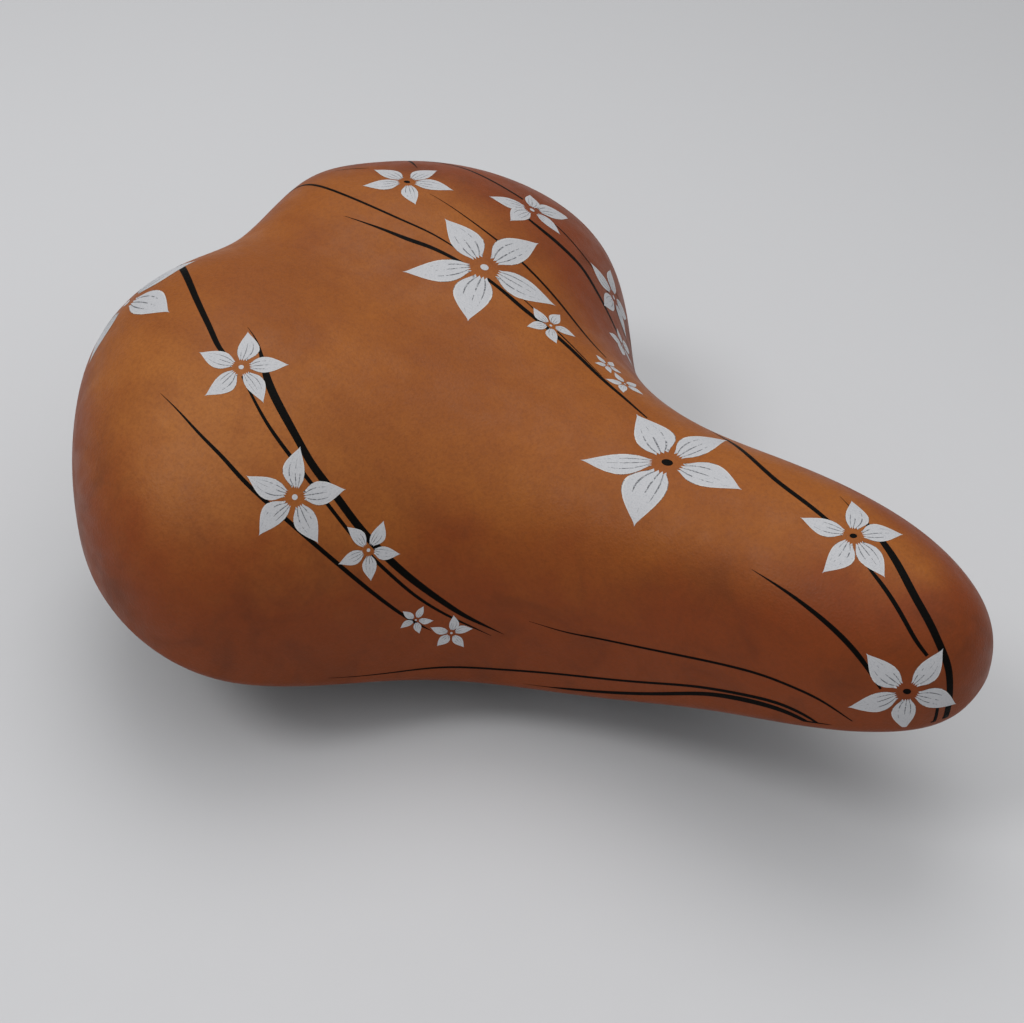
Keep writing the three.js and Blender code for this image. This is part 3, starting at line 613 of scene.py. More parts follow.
# Stems as (x, y, z, width).
STEMS = [
    [(-124, -24, 98, 2.1), (-114, -29, 102, 2.2), (-97, -42, 105, 1.8), (-84, -50, 105, 1.6),
     (-78, -54, 104, 1.5), (-73, -55, 103, 1)],
    [(-77, -43, 105, 0.1), (-72, -45, 104, 0.4), (-68, -48, 103, 1), (-62, -53, 101, 2.2),
     (-57, -56, 99, 2.4), (-50, -59, 96, 2.3), (-44, -61, 92, 2), (-38, -63, 88, 2.2), (-30, -63, 82, 2.1),
     (-23, -63, 74, 2.1), (-12, -59, 61, 2.1), (0, -53, 50, 1.7), (5, -50, 46, 1.3), (14, -46, 42, 0.1)],
    [(-67, -57, 101, 0.6), (-55, -63, 97, 0.9), (-47, -65, 93, 1.1), (-37, -66, 86, 1.1), (-31, -66, 81, 1),
     (-21, -65, 70, 1), (-13, -61, 60, 1), (-7, -58, 53, 0.9), (0, -54, 47, 0.8), (7, -50, 43, 0.5),
     (11, -48, 41, 0.1)],
    [(-83, -72, 97, 0.1), (-74, -74, 96, 0.5), (-66, -76, 94, 0.8), (-56, -77, 91, 1.1),
     (-49, -78, 87, 1.2), (-36, -76, 79, 1.2), (-29, -74, 73, 1.2), (-19, -68, 60, 1.2), (-9, -62, 48, 1),
     (-5, -59, 44, 0.7), (-3, -57, 42, 0.1)],
    [(-127, 26, 92, 1), (-119, 28, 98, 1), (-113, 27, 103, 1), (-103, 25, 105, 1), (-92, 25, 106, 0.9),
     (-77, 26, 105, 0.8), (-67, 28, 103, 0.7), (-58, 28, 101, 0.5)],
    [(-91, 17, 105, 0.1), (-86, 18, 105, 0.5), (-76, 20, 104, 1.1), (-70, 21, 103, 1.6),
     (-64, 23, 102, 1.5), (-57, 24, 101, 1.2), (-44, 25, 98, 1.2), (-35, 24, 96, 1.4), (-29, 23, 94, 1.7),
     (-24, 23, 93, 1.6), (-17, 22, 91, 1.6), (-11, 21, 90, 1.6), (-5, 19, 88, 1.6), (4, 16, 87, 1.4),
     (12, 14, 87, 1.1), (22, 10, 87, 0.5)],
    [(-33, 27, 95, 0.3), (-28, 26, 93, 0.5), (-22, 25, 92, 0.6), (-11, 23, 90, 0.6), (2, 18, 88, 0.2)],
    [(-78, 42, 105, 0.1), (-72, 42, 105, 0.3), (-56, 41, 101, 0.6), (-49, 41, 99, 0.9), (-32, 39, 92, 1),
     (-21, 36, 88, 1), (-12, 32, 85, 0.9), (-4, 30, 84, 0.5)],
    [(-99, 63, 96, 0.6), (-87, 68, 99, 1.2), (-77, 68, 100, 1.3), (-68, 68, 98, 1.2), (-61, 69, 97, 1.1)],
    [(-55, 60, 97, 0.9), (-49, 60, 95, 1.6), (-44, 61, 92, 2), (-38, 62, 88, 1.9), (-34, 63, 85, 1.7),
     (-28, 61, 80, 1.7), (-24, 60, 77, 1.6), (-18, 58, 72, 1.4), (-6, 52, 63, 0.6)],
    [(-52, 68, 93, 0.4), (-48, 69, 91, 0.7), (-43, 69, 88, 0.8), (-36, 69, 84, 0.6), (-24, 68, 66, 0.6),
     (-8, 58, 55, 0.1)],
    [(36, 22, 81, 0.1), (40, 19, 84, 0.5), (45, 17, 85, 1.3), (54, 11, 89, 1.4), (65, 4, 91, 1.4),
     (76, 1, 91, 1.5), (86, -2, 91, 1.2)],
    [(82, 10, 90, 0.1), (87, 7, 90, 0.4), (92, 5, 90, 1.2), (100, 1, 89, 2.1), (107, -4, 88, 2.2),
     (113, -8, 85, 2.1), (119, -10, 81, 2.1), (124, -12, 77, 2), (127, -12, 72, 2), (129, -13, 67, 1.9),
     (130, -13, 60, 1.8), (131, -14, 51, 1.7)],
    [(97, -7, 89, 0.4), (101, -9, 88, 0.9), (104, -10, 87, 1.2), (109, -12, 85, 1.2), (114, -14, 82, 1.2),
     (118, -15, 78, 1.1), (122, -15, 75, 0.9)],
    [(128, -16, 63, 0.8), (129, -16, 57, 1), (129, -17, 51, 0.9)],
    [(74, -22, 83, 0.1), (86, -22.8, 82, 0.9), (100, -23.4, 78, 1.4), (109, -24.2, 73, 1.5),
     (115, -24, 66, 0.6)],
    [(20, -43, 48, 0.1), (29, -40, 47, 0.4), (36, -38, 48, 0.6), (52, -36, 51, 0.7), (69, -34, 56, 0.8),
     (84, -33, 60, 0.8), (94, -31, 60, 0.8), (103, -30, 59, 0.8), (111, -28, 54, 0.3)],
    [(-24, -78, 30, 0.1), (-16, -73, 28, 0.3), (-9, -64, 27, 0.5), (0, -56, 28, 0.8), (9, -50, 28, 0.8),
     (20, -45, 29, 0.8), (41, -38, 34, 0.8), (56, -36, 40, 0.8), (70, -35, 47, 0.9), (86, -33, 52, 1.1),
     (93, -32, 53, 1.1), (100, -31, 52, 1), (107, -30, 48, 0.3)],
    [(20, -44, 23, 0.1), (31, -41, 26, 0.8), (42, -38, 29, 1.1), (57, -36, 36, 1.2), (71, -35, 45, 1.3),
     (79, -34, 48, 1.6), (86, -33, 50, 1.7), (93, -32, 51, 1.5), (100, -31, 50, 1.2), (106, -30, 47, 0.5)],
    [(-112, 38, 102, 0.1), (-108, 41, 103, 0.8), (-103, 44, 103, 0.1)],
    [(-100, 60, 99, 0.9), (-96, 57, 102, 1), (-91, 53, 104, 0.1)],
    [(-35, 75, 75, 0.1), (-27, 76, 60, 0.8), (-15, 68, 47, 0.9), (5, 54, 40, 0.1)],
    [(20, 42, 46, 0.1), (39, 37, 47, 0.9), (57, 34, 52, 1.2), (80, 32, 56, 1.3), (100, 30, 60, 0.8)],
    [(-9, 63, 27, 0.1), (13, 47, 28, 1.4), (47, 36, 35, 1.6), (70, 34, 46, 2), (97, 31, 50, 1.4),
     (110, 28, 48, 0.2)],
]


def make_print():
    white, dark = Print(PETAL_FILM), Print(STEM_FILM)
    for points in STEMS:
        stem(dark, points)
    for seed, (centre, size, turn, light_dot) in enumerate(FLOWERS):
        flower(white, dark, centre, size, turn, light_dot, seed)
    white.make("print_petals", WHITE_INK)
    dark.make("print_stems", DARK_INK)


make_print()


# ---- hard finishes
def plastic_finish():
    f = Finish("moulded_plastic", IOR=1.46)
    flow = f.fit(f.noise(30, 3, 0.6, distortion=1.2), 0.35, 0.7)
    f.set("Base Color", f.mix(flow, (0.016, 0.016, 0.017), (0.026, 0.026, 0.027)))
    f.rough(0.42, 0.62, 7, 4)
    f.set("Normal", f.bump(f.noise(0.35, 2, 0.7), 0.03))
    return f.material


def chrome_finish():
    f = Finish("chrome_plate", Metallic=1.0)
    haze = f.fit(f.noise(9, 4, 0.6), 0.4, 0.75)
    f.set("Base Color", f.mix(haze, (0.62, 0.63, 0.65), (0.5, 0.5, 0.51)))
    f.set("Roughness", f.fit(f.noise(3, 5, 0.65), 0.3, 0.75, 0.07, 0.22))
    f.set("Normal", f.bump(f.noise(2.5, 3), 0.012))
    return f.material


def painted_finish():
    f = Finish("black_enamel", IOR=1.5, Coat_Weight=0.3, Coat_Roughness=0.15)
    f.set("Base Color", f.mix(f.noise(5, 4), (0.011, 0.011, 0.012), (0.022, 0.022, 0.023)))
    f.rough(0.28, 0.42, 1.4, 3)
    f.set("Normal", f.bump(f.noise(1.1, 2), 0.03))
    return f.material


def zinc_finish():
    f = Finish("zinc_plate", Metallic=1.0)
    bloom = f.fit(f.noise(2.6, 5, 0.7), 0.35, 0.7)
    f.set("Base Color", f.mix(bloom, (0.5, 0.51, 0.53), (0.4, 0.4, 0.39)))
    f.rough(0.24, 0.42, 0.9, 4, 0.7)
    f.set("Normal", f.bump(f.noise(0.5, 3), 0.015))
    return f.material


PLASTIC, CHROME, ENAMEL, ZINC = plastic_finish(), chrome_finish(), painted_finish(), zinc_finish()


# ---- shapes for the hard pieces
def circle(sides):
    return np.arange(sides) * 2 * np.pi / sides


def about_z(radius, angle, height):
    return np.stack(np.broadcast_arrays(radius * np.cos(angle), radius * np.sin(angle), height), -1)


def placed(rows, origin=(0, 0, 0), axis="Z", ring=False):
    """Rows of a grid about the Z axis, laid along an axis and moved to origin. A ring has no end caps."""
    rows = np.asarray(rows, float)
    points = rows.reshape(-1, 3)
    if axis == "Y":
        points = points[:, [0, 2, 1]] * [1, 1, -1]
    sides = rows.shape[1]
    faces = grid_faces(len(rows) + ring, sides, wrap=True) % len(points)
    caps = [] if ring else [list(range(sides))[::-1], list(range(len(points) - sides, len(points)))]
    return points + np.array(origin, float), faces.tolist() + caps


def turned(profile, origin=(0, 0, 0), axis="Z", sides=64, ring=False):
    """A profile of (radius, height) turned round an axis, outside going up. A radius can vary by angle."""
    a = circle(sides)
    return placed([about_z(r, a, h) for r, h in profile], origin, axis, ring)


def hexagon(width, height, origin, axis="Z", hollow=0.0, mark=0.0):
    """A hexagon head or nut whose corners are trimmed by a cone at both ends."""
    sides = 72
    a = circle(sides)
    radius = width / 2 / np.cos((a + np.pi / 6) % (np.pi / 3) - np.pi / 6)
    inner = width / 2 * 0.95
    drop = (radius - inner) * 0.5
    rows = [(inner, 0), (radius, drop), (radius, height - drop), (inner, height)]
    if hollow:
        rows += [(hollow + 0.7, height), (hollow, height - 0.7), (hollow, 0.7), (hollow + 0.7, 0)]
    elif mark:
        rows += [(inner - 1.6, height), (inner - 2.2, height - mark)]
    return turned(rows, origin, axis, sides, ring=bool(hollow))


def thread(diameter, length, origin, axis="Z", pitch=1.25):
    """A rolled thread with its ends chamfered."""
    sides = 32
    z, a = np.meshgrid(np.linspace(0, length, int(length / pitch * 8)), circle(sides), indexing="ij")
    wave = np.abs((z / pitch - a / (2 * np.pi)) % 1 - 0.5) * 2
    radius = diameter / 2 - 0.6 * np.clip(wave * 1.2 - 0.1, 0, 1)
    radius = np.minimum(radius, diameter / 2 - 0.9 + np.minimum(z, length - z) * 1.2)
    return placed(about_z(radius, a, z), origin, axis)


def tube(path, radius, sides):
    """A round wire along a path, with its ends rounded over."""
    path = np.asarray(path, float)
    along = np.gradient(path, axis=0)
    along /= np.linalg.norm(along, axis=1)[:, None]
    side = np.cross(along[0], (0, 0, 1) if abs(along[0][2]) < 0.9 else (0, 1, 0))
    a = circle(sides)[:, None]
    frames = []
    for heading in along:
        side = side - heading * (side @ heading)
        side /= np.linalg.norm(side)
        frames.append(side * np.cos(a) + np.cross(heading, side) * np.sin(a))

    def end(k, sign):
        bulge = sign * along[k] * radius * 0.4
        return [path[k] + bulge * (1 - s * s) ** 0.5 + frames[k] * radius * s for s in (0.3, 0.6, 0.85, 0.96)]

    return placed(end(0, -1) + [p + f * radius for p, f in zip(path, frames)] + end(-1, 1)[::-1])


def bezier(points, count):
    t = np.linspace(0, 1, count, endpoint=False)[:, None]
    n = len(points) - 1
    shares = [math.comb(n, k) * t**k * (1 - t) ** (n - k) for k in range(n + 1)]
    return sum(share * np.array(p, float) for share, p in zip(shares, points))


def arc(centre, radius, start, end, count):
    a = np.radians(np.linspace(start, end, count))
    return [(centre[0] + radius * math.cos(v), centre[1] + radius * math.sin(v)) for v in a]


def rounded_box(low, high, corner):
    """The outline of a rectangle with round corners, anticlockwise."""
    (x0, y0), (x1, y1), c = low, high, corner
    turns = [((x1 - c, y0 + c), -90), ((x1 - c, y1 - c), 0), ((x0 + c, y1 - c), 90), ((x0 + c, y0 + c), 180)]
    return [p for middle, start in turns for p in arc(middle, c, start, start + 90, 7)]


def plate(loops, thickness, bevel):
    """A flat shape with rounded edges from an outline and the outlines of its holes, centred on Z = 0."""
    curve = bpy.data.curves.new("work", "CURVE")
    curve.dimensions, curve.fill_mode = "2D", "BOTH"
    curve.extrude = thickness / 2 - bevel
    curve.bevel_depth, curve.bevel_resolution, curve.offset = bevel, 2, -bevel
    for loop in loops:
        line = curve.splines.new("POLY")
        line.points.add(len(loop) - 1)
        line.points.foreach_set("co", [c for x, y in loop for c in (x, y, 0, 1)])
        line.use_cyclic_u = True
    shape = add_object("work", curve)
    made = evaluated(shape)
    bpy.data.objects.remove(shape)
    return made


def evaluated(obj):
    """The points and faces of an object with its modifiers, doubles merged."""
    mesh = bpy.data.meshes.new_from_object(obj.evaluated_get(bpy.context.evaluated_depsgraph_get()))
    work = bmesh.new()
    work.from_mesh(mesh)
    bmesh.ops.remove_doubles(work, verts=work.verts, dist=1e-4)
    bmesh.ops.recalc_face_normals(work, faces=work.faces)
    points = np.array([v.co for v in work.verts])
    faces = [[v.index for v in f.verts] for f in work.faces]
    work.free()
    return points, faces


def carved(shape, *tools, operation="DIFFERENCE"):
    """A closed shape with others cut from it, or joined to it with UNION."""
    made = []
    for points, faces in (shape, *tools):
        mesh = bpy.data.meshes.new("work")
        mesh.from_pydata(np.asarray(points).tolist(), [], faces)
        made.append(add_object("work", mesh))
    for tool in made[1:]:
        change = made[0].modifiers.new("work", "BOOLEAN")
        change.operation, change.solver, change.object = operation, "EXACT", tool
    result = evaluated(made[0])
    for obj in made:
        bpy.data.objects.remove(obj)
    return result


def laid(shape, order, signs, origin):
    """A shape with its axes reordered and moved."""
    points, faces = shape
    return np.asarray(points)[:, list(order)] * signs + np.array(origin, float), faces


class Heap:
    """Closed shapes gathered into one mesh."""

    def __init__(self, *shapes):
        self.points, self.faces, self.count = [], [], 0
        for shape in shapes:
            self.add(shape)

    def add(self, shape):
        points, faces = shape
        self.points.append(np.asarray(points, float))
        self.faces += [[v + self.count for v in face] for face in faces]
        self.count += len(points)

    def make(self, name, material, body, slot, *stands_for):
        made = piece(name, np.concatenate(self.points), self.faces, material, body, stands_for)
        made.data.set_sharp_from_angle(angle=math.radians(32))
        return made


# ---- foam and base
def lining(inset, drop):
    return rings(COARSE, ANGLES[::2], inset, drop)


def closed_skin(outer, inner):
    loops = outer + inner[::-1]
    return np.concatenate(loops), grid_faces(len(loops), len(outer[0]), wrap=True).tolist()


def make_foam():
    """The foam between cover and base; nothing of it shows while the saddle is whole."""
    outer = lining(PAD_INSET, lambda x: PAD_INSET)
    inner = lining(PAD_INSET + PAD_EDGE, lambda x: PAD_INSET + pad_depth(x))
    made = Heap(closed_skin(outer, inner)).make("saddle_foam", foam_finish(), "seat", "foam", "foam_pad")


SPRING_LOW, SPRING_HIGH = cad_box("spring_left")
SPRING_X, SPRING_Y = 0.5 * (SPRING_LOW + SPRING_HIGH)[:2]
CUP_LOW, CUP_HIGH = cad_box("spring_cup_lower_left")
CUP_R = 0.5 * (CUP_HIGH - CUP_LOW)[0]
BLOCK_LOW, BLOCK_HIGH = cad_box("nose_block")
BAR_X, BAR_Z, BAR_HALF = 0.5 * (BLOCK_LOW + BLOCK_HIGH)[0], BLOCK_LOW[2] - GAP / 2, BLOCK_HIGH[1]
SCREWS = [0.5 * (low + high)[0] for low, high in (cad_box("nose_screw_rear"), cad_box("nose_screw_front"))]
JAW_LOW, JAW_HIGH = cad_box("clamp_jaw_outer_left")
RAIL_R = 3.5
RAIL_Y, RAIL_Z = JAW_LOW[1] - 0.5, JAW_LOW[2] + 3 + RAIL_R
SIDES = (1, -1)
LABELLED = ((1, "left"), (-1, "right"))


def make_base():
    """The moulded shell with spring bosses, their gussets, the nose seat and stiffening ribs."""
    outer = lining(BASE_INSET, base_drop)
    inner = lining(BASE_INSET + BASE_WALL, lambda x: base_drop(x) + BASE_WALL)
    heap = Heap(closed_skin(outer, inner))
    points, faces = np.concatenate(inner), grid_faces(len(inner), COARSE, wrap=True)
    inside = BVHTree.FromPolygons(points.tolist(), faces.tolist())

    def ceiling(x, y):
        place = inside.ray_cast(Vector((x, y, -50)), Vector((0, 0, 1)))[0]
        return place.z if place else None

    def web(path, foot, half=0.9):
        """An upright wall along (x, y) points, from a foot height up into the shell."""
        path = [(x, y) for x, y in path if ceiling(x, y)]
        tops = [ceiling(x, y) for x, y in path]
        path, tops = np.array(path, float), np.array(tops) + 1
        along = np.gradient(path, axis=0)
        side = np.stack([-along[:, 1], along[:, 0]], -1) / np.linalg.norm(along, axis=1)[:, None]
        rows = []
        for p, s, top in zip(path, side, tops):
            low = max(SEAT_Z + 1, foot(top - 1))
            wall = [(1.25, top), (1, low + 0.6), (0.5, low), (-0.5, low), (-1, low + 0.6), (-1.25, top)]
            rows.append([(*(p + s * half * w), z) for w, z in wall])
        heap.add(placed(np.array(rows)))

    for y in (SPRING_Y, -SPRING_Y):
        top = ceiling(SPRING_X, y) + 1
        boss = [(11, 0.8), (11.7, top - SEAT_Z), (5, top - SEAT_Z), (4.4, 0.6), (5, 0), (10.2, 0)]
        heap.add(turned([(r, SEAT_Z + h) for r, h in boss], (SPRING_X, y, 0), ring=True))
        for degrees in range(0, 360, 45):
            a = math.radians(degrees)
            reach = np.linspace(10.5, 25, 8)[:, None]
            web((SPRING_X, y) + reach * (math.cos(a), math.sin(a)), lambda top: SEAT_Z + 4, 0.8)
    for share in (-0.66, -0.33, 0, 0.33, 0.66):
        x = np.linspace(-118, 72, 60)
        half = np.interp(x, (-118, -60, -10, 40, 72), (50, 62, 34, 24, 22))
        web(np.stack([x, share * half], -1), lambda top: top - 4.5)
    for x in (-52, -34, -16, 4, 26, 48):
        web([(x, y) for y in np.linspace(-60, 60, 60)], lambda top: top - 4, 0.8)
    low = BLOCK_HIGH[2] + GAP
    seat = plate([rounded_box((BLOCK_LOW[0], -BAR_HALF - 2), (BLOCK_HIGH[0], BAR_HALF + 2), 3)], 20, 0.6)
    heap.add(laid(seat, (0, 1, 2), 1, (0, 0, low + 10)))
    heap.make("base_moulding", PLASTIC, "seat", "base", "base_shell")


# ---- nose bearing
def make_nose_bearing():
    bore = RAIL_R + GAP
    x0, x1 = BLOCK_LOW[0] - BAR_X, BLOCK_HIGH[0] - BAR_X
    rise, width = BLOCK_HIGH[2] - BAR_Z, 2 * BAR_HALF
    upper = [(x0, 0.15), *arc((0, 0), bore, 177, 3, 18), (x1, 0.15)]
    upper += arc((x1 - 2, rise - 2), 2, 0, 90, 6) + arc((x0 + 2, rise - 2), 2, 90, 180, 6)
    cradle = laid(plate([upper[::-1]], width, 0.35), (0, 2, 1), (1, 1, 1), (BAR_X, 0, BAR_Z))
    Heap(cradle).make("bar_cradle", PLASTIC, "seat", "base", "nose_block")
    deep = BAR_Z - cad_box("nose_keeper")[0][2]
    lower = [(x1, -0.15), *arc((0, 0), bore, -3, -177, 18), (x0, -0.15)]
    lower += arc((x0 + 3, -deep + 3), 3, 180, 270, 8) + arc((x1 - 3, -deep + 3), 3, 270, 360, 8)
    strap = laid(plate([lower[::-1]], width, 0.5), (0, 2, 1), (1, 1, 1), (BAR_X, 0, BAR_Z))
    Heap(strap).make("bar_strap", ZINC, "seat", "zinc", "nose_keeper")
    under = BAR_Z - deep - GAP
    for x, node in zip(SCREWS, ("nose_screw_rear", "nose_screw_front")):
        six = 1.9 / np.cos((circle(48) + np.pi / 6) % (np.pi / 3) - np.pi / 6)
        head = [(six, 2.2), (six, 0.25), (six + 0.25, 0), (3.4, 0), (4.1, 0.35), (4.5, 1.2), (4.5, 3.2)]
        heap = Heap(turned([*head, (4.3, 3.4)], (x, 0, under - 3.4), sides=48))
        heap.add(thread(4.8, cad_box(node)[1][2] - under + 0.4, (x, 0, under - 0.4), pitch=1.6))
        heap.make(node.replace("nose", "strap"), ZINC, "seat", "zinc", node)


# ---- bolts, nuts and washers
HEAD, HEAD_MARK = (13, 5.3), 0.25  # a bolt head's width and height, and the depth of its dish
BOLT_DIAMETER, BOLT_HOLE, NUT_BORE = 8, 4.3, 3.9  # the last two are radii


def span(node, axis="Z"):
    """The low and high end of a CAD node along an axis."""
    k = "XYZ".index(axis)
    low, high = cad_box(node)
    return low[k], high[k]


def bolt(name, body, node, spot, axis="Z"):
    """A bolt with its head at the high end of its CAD node; spot(h) is the axis's point at h."""
    low, high = span(node, axis)
    seat = high - HEAD[1]
    shank = thread(BOLT_DIAMETER, seat + 0.5 - low, spot(low), axis)
    Heap(hexagon(*HEAD, spot(seat), axis, mark=HEAD_MARK), shank).make(name, ZINC, body, "zinc", node)


def nut(name, body, node, spot, axis="Z"):
    low, high = span(node, axis)
    shape = hexagon(HEAD[0], high - low, spot(low), axis, hollow=NUT_BORE)
    Heap(shape).make(name, ZINC, body, "zinc", node)


def washer(name, body, node, spot, axis="Z"):
    rows = [(4.4, 0), (7.6, 0), (8, 0.35), (8, 1.25), (7.6, 1.6), (4.4, 1.6)]
    Heap(turned(rows, spot(span(node, axis)[0]), axis, ring=True)).make(name, ZINC, body, "zinc", node)


# ---- rails, yoke and springs
def rail_path():
    """Both rails, their rise to the nose and the cross bar as one route."""
    rear, front = cad_box("rail_frame")[0][0], BAR_X - 84
    reach = BAR_HALF / 0.4
    corner = np.array((BAR_X, reach, BAR_Z))
    slope = np.array((-0.77, 0, -0.64))
    rise = corner + slope * (reach - BAR_HALF)
    steer = rise + slope * 30
    steer[1] = reach + 2
    start, bend = np.array((rear, RAIL_Y, RAIL_Z)), np.array((front, RAIL_Y, RAIL_Z))
    end, middle = (BAR_X, BAR_HALF, BAR_Z), (BAR_X, 0, BAR_Z)
    half = bezier([start, bend], 60), bezier([bend, bend + (18, 0, 0), steer, rise], 70)
    half = np.concatenate([*half, bezier([rise, corner, end], 40), bezier([end, middle], 10)])
    return np.concatenate([half, [middle], half[::-1] * (1, -1, 1)])


def make_rails():
    Heap(tube(rail_path(), RAIL_R, 36)).make("rail_wire", CHROME, "frame", "rails", "rail_frame")


def make_yoke():
    """The pressed plate under the springs, with its edges turned up, and the welds to both rails."""
    low, high = cad_box("rear_yoke")
    web, end, thick, bottom = 12, high[1] - SPRING_Y, 3, low[2]
    neck = math.degrees(math.asin(web / end)) - 90
    lobe = arc((0, SPRING_Y), end, neck, 180 - neck, 48)
    outline = lobe + [(x, -y) for x, y in lobe[::-1]]
    holes = [arc((0, side * SPRING_Y), BOLT_HOLE, 360, 9, 32) for side in SIDES]
    sheet = plate([outline, *holes], thick, 0.5)
    heap = Heap(laid(sheet, (0, 1, 2), 1, (SPRING_X, 0, bottom + thick / 2)))
    reach = SPRING_Y - CUP_R - 2
    for side in SIDES:
        strip = plate([rounded_box((-reach, 0), (reach, 8), 1.8)], 2, 0.5)
        heap.add(laid(strip, (2, 0, 1), 1, (SPRING_X + side * (web - 1), 0, bottom)))
        seam = np.linspace(-web + 2, web - 2, 34)
        lump = 0.18 * np.sin(seam * 3.1 + side)
        for edge in SIDES:
            y = side * RAIL_Y + edge * (2.9 + lump * 0.4)
            heap.add(tube(np.stack([SPRING_X + seam, y, bottom - 0.25 + lump * 0.3], -1), 1.3, 12))
    heap.make("yoke_pressing", ENAMEL, "frame", "black_steel", "rear_yoke")


CUP = [(4.4, 0), (17, 0), (18.2, 0.4), (18.8, 1.4), (18.8, 5.1), (18.4, 5.5), (17.7, 5.5), (17.3, 5.1)]
CUP += [(17.3, 2.3), (16.7, 1.5), (4.4, 1.5)]
COIL_TURNS, COIL_WIRE, COIL_RADIUS, END_PITCH = 5, 2.25, 17, 5.2  # the radii of the wire and outside


def make_spring(side, label):
    x, y = SPRING_X, side * SPRING_Y
    low, high = SPRING_LOW[2], SPRING_HIGH[2]
    t = np.linspace(0, COIL_TURNS, COIL_TURNS * 40 + 1)
    rise = high - low - 2 * COIL_WIRE - 2 * END_PITCH
    climb = np.cumsum((0, END_PITCH, rise, END_PITCH))
    z = low + COIL_WIRE + np.interp(t, (0, 1, COIL_TURNS - 1, COIL_TURNS), climb)
    z = np.convolve(np.pad(z, 9, mode="reflect", reflect_type="odd"), np.ones(19) / 19, "valid")
    path = about_z(COIL_RADIUS - COIL_WIRE, t * 2 * np.pi, z) * (1, side, 1) + (x, y, 0)
    made = Heap(tube(path, COIL_WIRE, 20)).make(f"coil_{label}", CHROME, None, "springs", f"spring_{label}")
    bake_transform(made)
    flipped = [(r, -z) for r, z in CUP[::-1]]
    top = span(f"spring_cup_upper_{label}")[1]
    for kind, body, profile, height in (("lower", "frame", CUP, CUP_LOW[2]), ("upper", "seat", flipped, top)):
        cup = Heap(turned(profile, (x, y, height), ring=True))
        cup.make(f"cup_{kind}_{label}", ENAMEL, body, "black_steel", f"spring_cup_{kind}_{label}")

    def spot(height):
        return x, y, height

    bolt(f"bolt_lower_{label}", "frame", f"spring_bolt_lower_{label}", spot)
    washer(f"washer_{label}", "frame", f"spring_washer_{label}", spot)
    nut(f"nut_{label}", "frame", f"spring_nut_{label}", spot)
    low, high = span(f"spring_bolt_upper_{label}")
    points, faces = hexagon(*HEAD, (0, 0, 0), mark=HEAD_MARK)
    head = points * (1, -1, -1) + spot(low + HEAD[1]), faces
    foot = low + HEAD[1] - 0.5
    shank = thread(BOLT_DIAMETER, high - foot, spot(foot))
    Heap(head, shank).make(f"bolt_upper_{label}", ZINC, "seat", "zinc", f"spring_bolt_upper_{label}")


# ---- seat post clamp
BOLT_AT = 0.5 * np.sum(cad_box("clamp_washer_left"), axis=0) * (1, 0, 1)


def jaw(low, high, foot):
    """A jaw plate on the left of the bolt, with its half of the rail's groove, round the bolt's axis."""
    half, top = 0.5 * (JAW_HIGH - JAW_LOW)[0], JAW_HIGH[2] - BOLT_AT[2]
    cut, corner = 2.5, 7
    shape = [(-half + cut, foot), (half - cut, foot), (half, foot + cut)]
    shape += arc((half - corner, top - corner), corner, 0, 90, 12)
    shape += [*arc((corner - half, top - corner), corner, 90, 180, 12), (-half, foot + cut)]
    hole = arc((0, 0), BOLT_HOLE, 360, 9, 32)
    flat = plate([shape, hole], high - low, 0.7)
    body = laid(flat, (0, 2, 1), (1, -1, 1), (0, 0.5 * (low + high), 0))
    drop = RAIL_Z - BOLT_AT[2]
    groove = tube([(v, RAIL_Y, drop) for v in np.linspace(-half - 5, half + 5, 6)], RAIL_R + GAP, 40)
    return carved(body, groove)


def make_clamp():
    for kind in ("inner", "outer"):
        low, high = cad_box(f"clamp_jaw_{kind}_left")
        points, faces = jaw(low[1], high[1], low[2] - BOLT_AT[2])
        for side, label in LABELLED:
            shape = Heap((points * (side, side, 1) + BOLT_AT, faces))
            shape.make(f"jaw_{kind}_{label}", ENAMEL, "clamp", "black_steel", f"clamp_jaw_{kind}_{label}")

    def spot(y):
        return BOLT_AT[0], y, BOLT_AT[2]

    for _, label in LABELLED:
        washer(f"jaw_washer_{label}", "clamp", f"clamp_washer_{label}", spot, "Y")
    bolt("through_bolt", "clamp", "clamp_bolt", spot, "Y")
    nut("through_nut", "clamp", "clamp_nut", spot, "Y")


def make_sleeve():
    """The split band for the post; its mouth is turned to the rear, as it is stored."""
    low, high = cad_box("post_sleeve")
    ear, below, above = high[1], low[0] - BOLT_AT[0], 10
    outer, inner, edge = 14.3, 11.2, 0.8
    band = [(outer - edge, below), (outer, below + edge), (outer, above - edge), (outer - edge, above)]
    ears = turned([(11, -ear), (12, -ear + 1), (12, ear - 1), (11, ear)], axis="Y", sides=72)
    bore = [(inner + edge, below - 1), (inner + edge, below), (inner, below + edge), (inner, 24)]
    hole = turned([(BOLT_HOLE, -20), (BOLT_HOLE, 20)], axis="Y", sides=40)
    slit = laid(plate([rounded_box((0, below - 2), (20, 26), 0.5)], 3, 0.1), (0, 2, 1), (1, -1, 1), (0, 0, 0))
    body = carved(turned(band, sides=96), ears, operation="UNION")
    body = carved(body, turned(bore, sides=96), hole, slit)
    shape = Heap(laid(body, (2, 1, 0), (1, 1, -1), BOLT_AT))
    shape.make("post_band", ENAMEL, "sleeve", "black_steel", "post_sleeve")


make_foam()
make_base()
make_nose_bearing()
make_rails()
make_yoke()
for side, label in LABELLED:
    make_spring(side, label)
make_clamp()
make_sleeve()


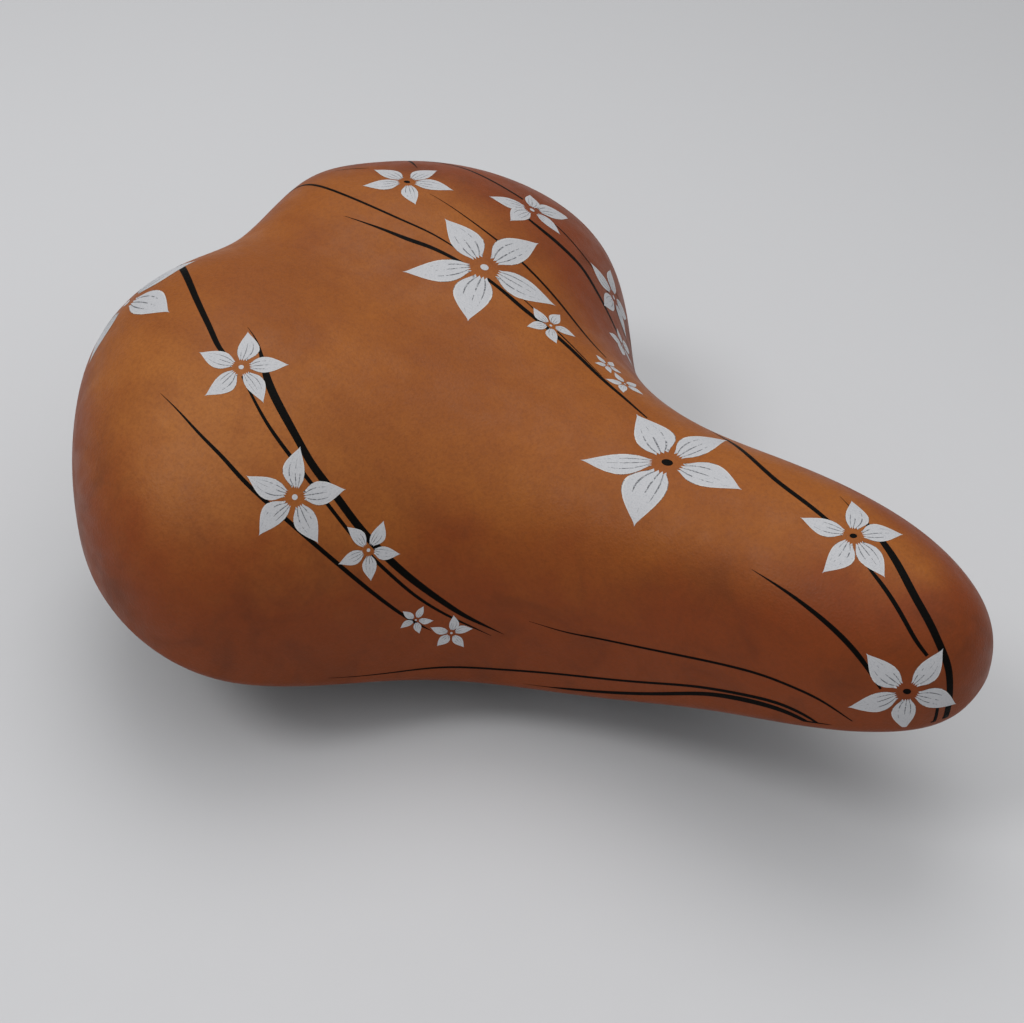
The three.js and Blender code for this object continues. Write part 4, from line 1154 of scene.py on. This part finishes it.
# ---- floor, light and camera
def make_floor():
    """A pale round sheet that sweeps up far from the saddle on every side."""
    flat, edge, count, sides = 3200, 6400, 81, 96
    radius = np.linspace(0, edge, count)
    rise = np.where(radius > flat, (radius - flat) ** 2 / 5000, 0)
    loops = [about_z(r, circle(sides), z) for r, z in zip(radius, rise)]
    made = piece("floor_sheet", np.concatenate(loops), grid_faces(count, sides, wrap=True), floor_finish())


def lamp(name, direction, distance, size, power):
    data = bpy.data.lights.new(name, "AREA")
    data.shape = "DISK"
    data.size, data.energy = size, power
    made = add_object(name, data)
    towards = Vector(direction).normalized()
    made.location = Vector((0, 0, 0.06)) + towards * distance
    made.rotation_mode = "QUATERNION"
    made.rotation_quaternion = towards.to_track_quat("Z", "Y")


def make_light():
    lamp("window_lamp", (-0.42, -0.6, 1), 4, 1.3, 34)
    lamp("side_lamp", (-0.3, 0.4, 1), 4, 2.6, 32)
    world = bpy.data.worlds.new("studio")
    world.use_nodes = True
    tree = world.node_tree
    place = tree.nodes.new("ShaderNodeTexCoord").outputs["Generated"]
    height = tree.nodes.new("ShaderNodeSeparateXYZ")
    tree.links.new(place, height.inputs[0])
    level = tree.nodes.new("ShaderNodeMapRange")
    tree.links.new(height.outputs["Z"], level.inputs["Value"])
    for name, value in (("From Min", 0.2), ("From Max", 1), ("To Min", 0), ("To Max", 1.19)):
        level.inputs[name].default_value = value
    tree.links.new(level.outputs["Result"], tree.nodes["Background"].inputs["Strength"])
    tree.nodes["Background"].inputs["Color"].default_value = (0.98, 0.99, 1, 1)
    bpy.context.scene.world = world
    bpy.context.scene.view_settings.view_transform = "Standard"


def make_camera():
    """Over the nose on the rider's right, looking down on the seat."""
    azimuth, elevation, roll = (math.radians(a) for a in (32.43, 41.1, 2.93))
    target, distance = Vector((-7.4, 0, 58)) * MM, 0.53095
    level = math.cos(elevation)
    back = Vector((math.sin(azimuth) * level, -math.cos(azimuth) * level, math.sin(elevation)))
    right = (-back).cross(Vector((0, 0, 1))).normalized()
    up = right.cross(-back)
    sideways = right * math.cos(roll) + up * math.sin(roll)
    upright = up * math.cos(roll) - right * math.sin(roll)
    data = bpy.data.cameras.new("camera")
    data.sensor_width, data.lens = 36, 63.64
    data.shift_x, data.shift_y = -0.0236, -0.0377
    made = add_object("camera", data)
    axes = Matrix((sideways, upright, back)).transposed().to_4x4()
    made.matrix_world = Matrix.Translation(target + back * distance) @ axes
    bpy.context.scene.camera = made


make_floor()
make_light()
make_camera()
